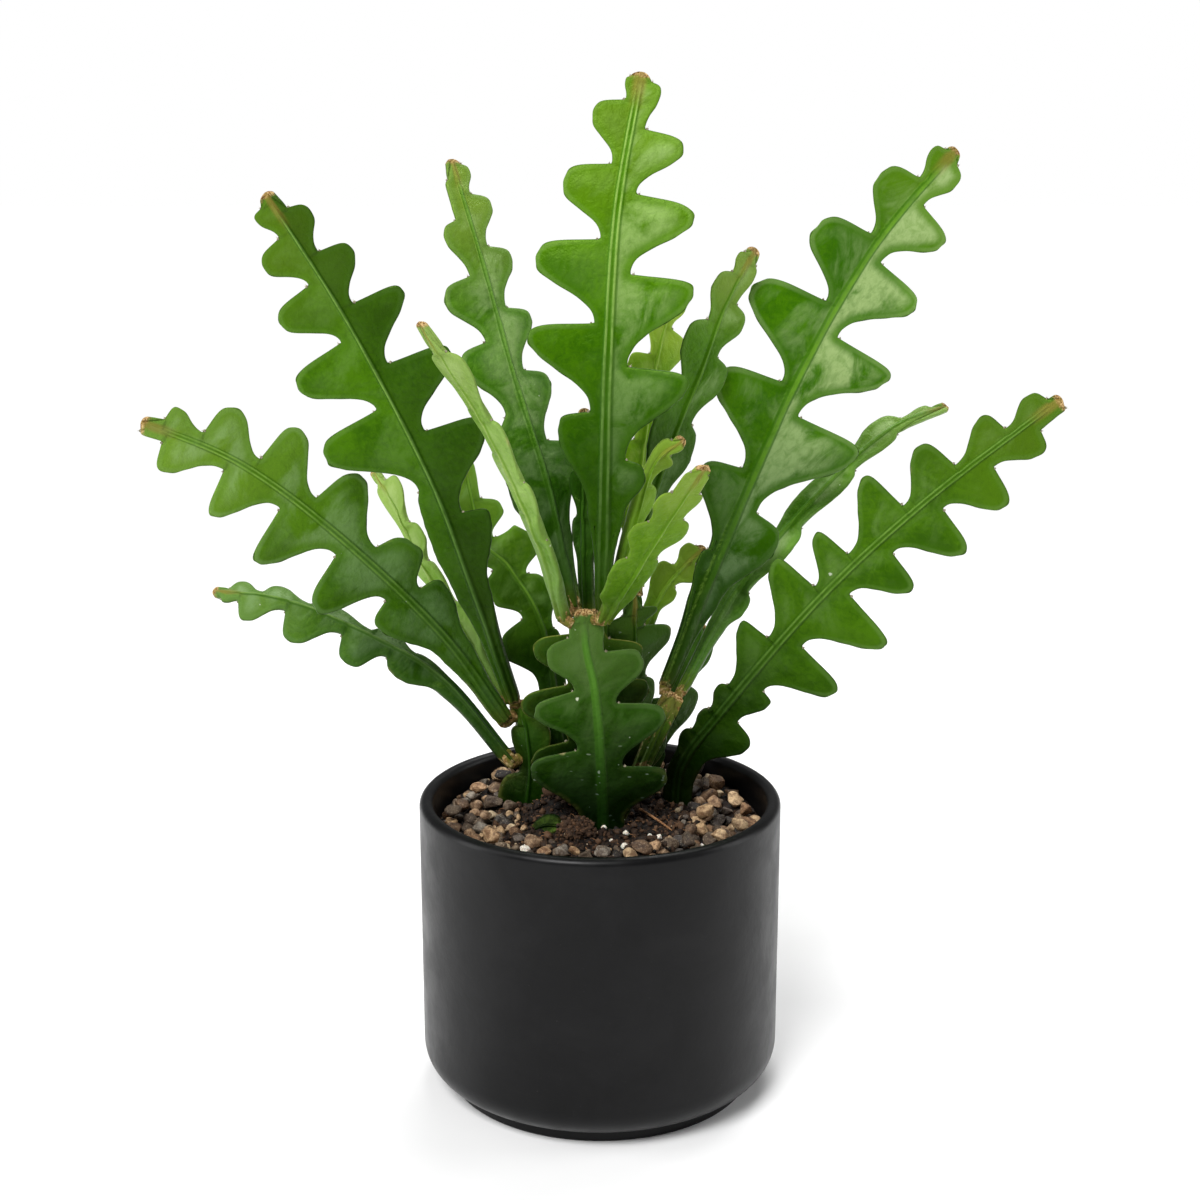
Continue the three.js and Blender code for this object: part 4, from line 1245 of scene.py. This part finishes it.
def pot():
    """The pot turned from its profile: foot, rounded belly, straight side, rim and inside."""
    belly = (POT_RADIUS - BELLY_RADIUS, FOOT_HEIGHT + BELLY_RADIUS * math.sin(BELLY_SWEEP))
    inner = POT_RADIUS - POT_WALL
    rim_low, corner = POT_HEIGHT - RIM_INNER, POT_FLOOR + INNER_CORNER
    straight, narrow, depth = FOOT_GROOVE
    profile = [(20, 0), (40, 0)]
    profile += arc((FOOT_RADIUS - FOOT_EDGE, FOOT_EDGE), FOOT_EDGE, -QUARTER, 0, 5)
    profile += [(FOOT_RADIUS, straight), (FOOT_RADIUS - depth, narrow)]
    profile += [(FOOT_RADIUS + depth, FOOT_HEIGHT)]
    profile += arc(belly, BELLY_RADIUS, -BELLY_SWEEP, 0, 18)
    profile += [(POT_RADIUS, z) for z in np.linspace(belly[1], POT_HEIGHT - RIM_OUTER, 26)[1:-1]]
    profile += arc((POT_RADIUS - RIM_OUTER, POT_HEIGHT - RIM_OUTER), RIM_OUTER, 0, QUARTER, 10)
    profile += arc((inner + RIM_INNER, rim_low), RIM_INNER, QUARTER, 2 * QUARTER, 10)
    profile += [(inner, z) for z in np.linspace(rim_low, corner, 14)[1:-1]]
    profile += arc((inner - INNER_CORNER, corner), INNER_CORNER, 0, -QUARTER, 6)
    profile += [(30, POT_FLOOR)]
    points = [point for radius, z in profile for point in circle(radius, z, POT_SIDES)]
    count = len(points)
    points += [(0, 0, 0), (0, 0, POT_FLOOR)]
    faces = bands(len(profile), POT_SIDES) + turned_over(fan(count, 0, POT_SIDES))
    faces += fan(count + 1, count - POT_SIDES, POT_SIDES)
    piece("pot_glazed", points, faces, pot_material(), "pot_glaze", "pot")


# ---- Soil, gravel and what lies in it ----

SOIL_RINGS = 90
SOIL_SIDES = 240
SOIL_BUMPS = ((1.1, 7, 3), (0.8, 2.6, 8), (0.5, 1.2, 5))
CLOD_PLACE = (-8.5, -15)
CLOD_HALF = (6.4, 5, 4.4)
CLOD_BUMPS = ((0.34, 0.55, 4), (0.16, 0.2, 9), (0.06, 0.09, 2))
CLOD_CRUMBS = 240
STONE_CUTS = 9
CUT_REACH = (0.48, 0.84)  # how far from a stone's middle its flats are
CUT_DEPTH = 0.92  # how flat they are
PEBBLE_SPARE = 1.04  # how much larger than its node a pebble is, with its rough skin
PEBBLE_SINK = 0.5
TRIES = 60  # for each thing that is scattered
WALL_ROOM = 0.5
STEM_ROOM = 0.4


def ground_height(x, y):
    """The soil's top: level, with a lower ring at the wall, a rise at the back and a mound."""
    height = SOIL_TOP + (SOIL_RING - SOIL_TOP) * smoothstep(np.hypot(x, y), *SOIL_SLOPE)
    from_mound = np.hypot(x - MOUND_PLACE[0], y - MOUND_PLACE[1])
    height = height + BACK_RISE * smoothstep(y, *SOIL_BACK)
    return height + MOUND_RISE * smoothstep(from_mound, MOUND_RADIUS, 0)


def soil():
    """The root ball: a lumpy top over a plain round body."""
    outer = POT_RADIUS - POT_WALL - GAP
    bottom = POT_FLOOR + GAP
    points = [(0, 0, 0)]
    for radius in np.linspace(0, outer, SOIL_RINGS + 1)[1:]:
        points += circle(radius, 0, SOIL_SIDES)
    points = np.array(points)
    points[:, 2] = ground_height(points[:, 0], points[:, 1])
    inside = smoothstep(np.hypot(points[:, 0], points[:, 1]), outer, outer - 4)
    points[:, 2] += bumps(points, *SOIL_BUMPS) * (0.4 + 0.6 * inside) - 0.4
    body = circle(outer, bottom + INNER_CORNER, SOIL_SIDES)
    body += circle(outer - INNER_CORNER, bottom, SOIL_SIDES)
    points = np.vstack([points, body, [(0, 0, bottom)]])
    middle = len(points) - 1
    faces = fan(0, 1, SOIL_SIDES) + turned_over(bands(SOIL_RINGS + 2, SOIL_SIDES, 1))
    faces += turned_over(fan(middle, middle - SOIL_SIDES, SOIL_SIDES))
    shade = np.zeros((len(points), 3))
    piece("soil_body", points, faces, soil_material(), "soil", "potting_soil", shade=shade)


def stone(ball, rng, stretch=(1, 1, 1)):
    """A weathered stone: a ball cut by a few flats, then roughened."""
    points, faces = ball
    made = points.copy()
    for _ in range(STONE_CUTS):
        way = unit(rng.normal(size=3))
        over = made @ way - rng.uniform(*CUT_REACH)
        made -= np.outer(np.clip(over, 0, None) * CUT_DEPTH, way)
    made *= lumpy(points, rng, (0.11, 0.42))
    made *= lumpy(points, rng, (0.05, 0.16))
    return made * stretch @ turned_level(rng), faces


def turned_level(rng):
    turn = rng.uniform(0, math.tau)
    c, s = math.cos(turn), math.sin(turn)
    return np.array([[c, s, 0], [-s, c, 0], [0, 0, 1]])


def tilted(points, rng, most):
    """The points turned a little about a random level axis."""
    flat = turned_level(rng)
    tilt = rng.uniform(-most, most)
    c, s = math.cos(tilt), math.sin(tilt)
    return points @ flat @ np.array([[1, 0, 0], [0, c, s], [0, -s, c]]) @ flat.T


def stone_shade(rng):
    shade = srgb(*STONE_SHADES[rng.integers(len(STONE_SHADES))])
    return np.array(shade[:3]) * rng.uniform(0.65, 1.2)


def pebbles(material):
    """The larger stones, each where its CAD node is and as large."""
    rng = np.random.default_rng(41)
    ball = icosphere(4)
    places = []
    for name in sorted(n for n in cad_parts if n.startswith("pebble_")):
        low, high = (np.array(corner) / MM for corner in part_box(name))
        points, faces = stone(ball, rng)
        points = tilted(points, rng, 0.5)
        points *= (high - low) / 2 * PEBBLE_SPARE / np.abs(points).max(0)
        points += (high + low) / 2 - (0, 0, PEBBLE_SINK)
        heap = Heap()
        heap.add(points, faces, stone_shade(rng))
        heap.to_piece(name + "_stone", material, "pebble", name)
        places.append(((high + low) / 2, max(high - low) / 2))
    return places


def scattered(rng, stems, count, ring, sizes, room, taken=()):
    """Places and half sizes of small things in a ring, clear of each other and of the stems."""
    found = []
    for _ in range(count * TRIES):
        if len(found) == count:
            break
        radius = math.sqrt(rng.uniform(ring[0] ** 2, ring[1] ** 2))
        turn = rng.uniform(0, math.tau)
        half = rng.uniform(*sizes) / 2
        spot = np.array([radius * math.cos(turn), radius * math.sin(turn)])
        if radius + half > POT_RADIUS - POT_WALL - WALL_ROOM:
            continue
        if any(np.hypot(*(spot - c[:2])) < (half + r) * room for c, r in [*taken, *found]):
            continue
        ground = float(ground_height(*spot))
        _, _, off = stems.find((*spot, ground + half))
        if off >= half + STEM_ROOM:
            found.append((np.array([*spot, ground]), half))
    return found


def gravel(material, big, stems):
    """Layers of smaller stones that fill the ring between the pebbles."""
    rng = np.random.default_rng(7)
    heap = Heap()
    lower = scattered(rng, stems, 190, (33, 59), (4.2, 7.4), 0.84, big)
    small = scattered(rng, stems, 170, (29, 59.2), (2, 3.8), 0.8, big + lower)
    upper = scattered(rng, stems, 30, (38, 56), (4.6, 7.6), 1.15)
    layers = ((lower, 0.5, icosphere(3)), (small, 0.45, icosphere(2)), (upper, 1.9, icosphere(3)))
    for layer, lift, ball in layers:
        for place, half in layer:
            stretch = [rng.uniform(*span) for span in ((0.95, 1.25), (0.78, 1), (0.6, 0.9))]
            points, faces = stone(ball, rng, np.array(stretch) * half)
            points = tilted(points, rng, 0.7)
            heap.add(points + place + (0, 0, half * lift), faces, stone_shade(rng))
    heap.to_piece("gravel_small", material, "pebble")
    return lower + small


def crumbs(stems, stones, material):
    """Lumps and bits of bark that lie on the soil, most of them fine and dark."""
    rng = np.random.default_rng(19)
    points, faces = icosphere(2)
    heap = Heap()
    places = scattered(rng, stems, 90, (0, 38), (2.4, 4.2), 0.7)
    places += scattered(rng, stems, 760, (0, 38), (0.9, 2.2), 0.5)
    places += scattered(rng, stems, 220, (34, 58), (1, 2.2), 0.7, stones)
    for place, half in places:
        lumps = lumpy(points, rng, (0.5, 0.8), (0.16, 0.3))
        stretch = rng.uniform(0.5, 1.25, 3)
        pale = rng.uniform(0, 1) ** 3
        lump = tilted(points * lumps * stretch * half, rng, 1)
        heap.add(lump + place + (0, 0, half * 0.3), faces, (pale, 0, 0))
    clod(heap, rng)
    heap.to_piece("soil_crumbs", material, "soil")


def clod(heap, rng):
    """One large clod of mix in front: a rough core, covered in crumbs."""
    middle = np.array([*CLOD_PLACE, ground_height(*CLOD_PLACE) + CLOD_HALF[2] * 0.45])
    points, faces = icosphere(5)
    core = points * (1 + bumps(points, *CLOD_BUMPS))[:, None] * CLOD_HALF + middle
    heap.add(core, faces, (0.3, 0, 0))
    points, faces = icosphere(2)
    for place in core[rng.choice(len(core), CLOD_CRUMBS, replace=False)]:
        crumb = lumpy(points, rng, (0.5, 0.8)) * rng.uniform(0.3, 0.85)
        heap.add(points * crumb + place, faces, (rng.uniform(0, 1), 0, 0))


FIBRE_RINGS = 6
FIBRE_SIDES = 4
FIBRE_RADIUS = 0.16


def fibres(stems, material):
    """Thin dead roots that stick out of the mix."""
    rng = np.random.default_rng(31)
    heap = Heap()
    for place, half in scattered(rng, stems, 150, (0, 44), (1.2, 3.6), 0.2):
        heading = rng.uniform(0, math.tau)
        way = np.array([math.cos(heading), math.sin(heading), rng.uniform(-0.1, 0.5)])
        across = np.array([-way[1], way[0], 0])
        curl = rng.uniform(-0.5, 0.5)
        ring = FIBRE_RADIUS * loop(across, (0, 0, 1), FIBRE_SIDES)
        rings = []
        for share in np.linspace(0, 1, FIBRE_RINGS):
            centre = place + 2 * half * (way * share + across * curl * share**2)
            rings.append(centre + (0, 0, 0.7 - 1.6 * share**2) + ring * (1 - 0.6 * share))
        heap.add(np.vstack(rings), bands(FIBRE_RINGS, FIBRE_SIDES))
    heap.to_piece("root_fibres", material, "soil")


PERLITE = [  # x, y, size
    (1.4, -9.5, 2.0), (8, -0.4, 1.8), (9.2, -15.5, 2.3), (20.8, -18.4, 2.0), (17.7, -16.5, 1.6),
    (24.5, -31.5, 1.9), (12, -33, 1.4), (30, -27, 1.5), (-26, -24, 1.4), (36, -18, 1.6),
    (-26, -27, 3.4), (8.5, -28, 2.4), (4, -21, 1.3),
]


def perlite():
    rng = np.random.default_rng(5)
    points, faces = icosphere(3)
    heap = Heap()
    for x, y, size in PERLITE:
        middle = (x, y, ground_height(x, y) + size * 0.45)
        heap.add(points * lumpy(points, rng, (0.4, 0.7)) * size / 2 + middle, faces)
    heap.to_piece("perlite_beads", perlite_material(), "pebble")


STICK_RINGS = 24
STICK_SIDES = 8


def stick(name, points, radii, material):
    """A thin, slightly knotty stick along the points, whose radius goes through radii."""
    line = Line(catmull_rom(points))
    marks = np.linspace(0, line.length, STICK_RINGS)
    thick = np.interp(marks / line.length, np.linspace(0, 1, len(radii)), radii)
    thick = thick * (1 + 0.15 * np.sin(marks * 2.3))
    ways = line.way_at(marks)
    across = unit(np.cross(ways, (0.1, 0.2, 1)))
    sides = zip(line.at(marks), across, np.cross(ways, across), thick)
    rings = [place + loop(a, b, STICK_SIDES) * radius for place, a, b, radius in sides]
    faces = bands(STICK_RINGS, STICK_SIDES) + lids(STICK_RINGS, STICK_SIDES)
    piece(name, np.vstack(rings), faces, material, "soil")


# ---- Scene ----

# Softboxes: place in metres, the height on the axis that they aim at, size, and watts.
LIGHTS = {
    "key": ((-1, -1.9, 2.5), 0.2, (1.5, 1.2), 108),
    "left": ((-1.5, -0.1, 0.6), 0.2, (0.7, 1.3), 11),
    "right": ((1.5, 0.1, 0.6), 0.2, (0.7, 1.3), 10),
    "top": ((0.3, 0.9, 1.9), 0.1, (1.2, 0.9), 28),
}
WORLD_LIGHT = 0.2
FLOOR_HALF = 6000
FLOOR_FADE = (0.5, 1.3)  # metres from the pot over which the floor becomes plain white
WHITE, BLACK = (1, 1, 1, 1), (0, 0, 0, 1)


def add_camera():
    data = bpy.data.cameras.new("camera")
    data.lens = CAMERA_LENS
    data.sensor_width = 36
    data.clip_start = 0.01
    data.clip_end = 50
    camera = bpy.data.objects.new("camera", data)
    camera.location = Vector(CAMERA_PLACE) * MM
    camera.rotation_euler = (math.radians(90 - CAMERA_PITCH), 0, 0)
    bpy.context.scene.collection.objects.link(camera)
    bpy.context.scene.camera = camera


def add_lights():
    for name, (place, aim, size, power) in LIGHTS.items():
        data = bpy.data.lights.new(name, "AREA")
        data.shape = "RECTANGLE"
        data.size, data.size_y = size
        data.energy = power
        lamp = bpy.data.objects.new(name, data)
        lamp.location = place
        way = Vector((0, 0, aim)) - Vector(place)
        lamp.rotation_euler = way.to_track_quat("-Z", "Y").to_euler()
        bpy.context.scene.collection.objects.link(lamp)


def add_world():
    """White all round where it is seen, and dimmer as a light."""
    world = bpy.data.worlds.new("studio")
    world.use_nodes = True
    tree = world.node_tree
    lit = tree.nodes["Background"]
    seen = tree.nodes.new("ShaderNodeBackground")
    for background, strength in ((lit, WORLD_LIGHT), (seen, 1)):
        background.inputs["Color"].default_value = WHITE
        background.inputs["Strength"].default_value = strength
    path = tree.nodes.new("ShaderNodeLightPath")
    either = tree.nodes.new("ShaderNodeMixShader")
    tree.links.new(path.outputs["Is Camera Ray"], either.inputs[0])
    tree.links.new(lit.outputs[0], either.inputs[1])
    tree.links.new(seen.outputs[0], either.inputs[2])
    tree.links.new(either.outputs[0], tree.nodes["World Output"].inputs["Surface"])
    bpy.context.scene.world = world


def add_floor():
    """A pale floor that turns into the white of the studio further out."""
    made = Shader("pale_floor", IOR=1.3, Emission_Color=WHITE)
    cloud = made.step(made.noise(60, 3), 0.3, 0.7)
    pale = made.mix(cloud, (0.86, 0.86, 0.86, 1), (0.88, 0.88, 0.88, 1))
    length = made.node("VectorMath", {"operation": "LENGTH"}, Vector=made.place)
    far = made.step(length.outputs["Value"], *FLOOR_FADE)
    made.feed(made.surface.inputs["Emission Strength"], far)
    made.color = made.mix(far, pale, BLACK)
    corners = [(x * FLOOR_HALF, y * FLOOR_HALF, 0) for x, y in ((-1, -1), (1, -1), (1, 1), (-1, 1))]
    floor = mesh_object("floor", corners, [(0, 1, 2, 3)], made.finish(0.7))


# ---- Everything ----

add_camera()
add_world()
add_lights()
add_floor()

pot()
soil()

stems = [Stem(index, row) for index, row in enumerate(STEMS)]
skins = {name: stem_material(name, style) for name, style in LOOKS.items()}
tufts = Heap()
tuft_ball = icosphere(1)
tuft_rng = np.random.default_rng(23)
blades = []
for stem in stems:
    blades.append(blade(stem, skins[stem.look]))
    areoles(stem, tufts, tuft_ball, tuft_rng)
tufts.to_piece("areole_tufts", felt_material(), "stem_bark")

JOINT_SEARCH = 12  # how near its root a shoot's parent is
cork = cork_material()
for stem in stems:
    if stem.rooted:
        continue
    root = stem.midrib.points[0]
    others = np.vstack([points for i, points in enumerate(blades) if i != stem.index])
    near_root = others[np.linalg.norm(others - root, axis=1) < JOINT_SEARCH]
    parent_point, _, _ = tree_of(near_root).find(root)
    joint(stem, np.array(parent_point), cork)

STEM_FEET = 112  # only what is below this height can touch what lies on the soil
blade_points = np.vstack(blades)
stem_tree = tree_of(blade_points[blade_points[:, 2] < STEM_FEET])

stones = stone_material()
big_stones = pebbles(stones)
small_stones = gravel(stones, big_stones, stem_tree)
crumbs(stem_tree, big_stones + small_stones, bpy.data.materials["potting_mix"])
perlite()
wood = twig_material()
fibres(stem_tree, wood)
stick("twig", [(14.6, 6.8, 99.6), (20, -2.5, 99.4), (25.6, -12.5, 98.7)], (0.5, 0.45, 0.3), wood)
stick("straw", [(-55, 30, 98), (-55.5, 31, 103), (-55, 31.5, 106)], (0.35, 0.4, 0.25), wood)

bpy.context.scene.view_settings.view_transform = "Standard"
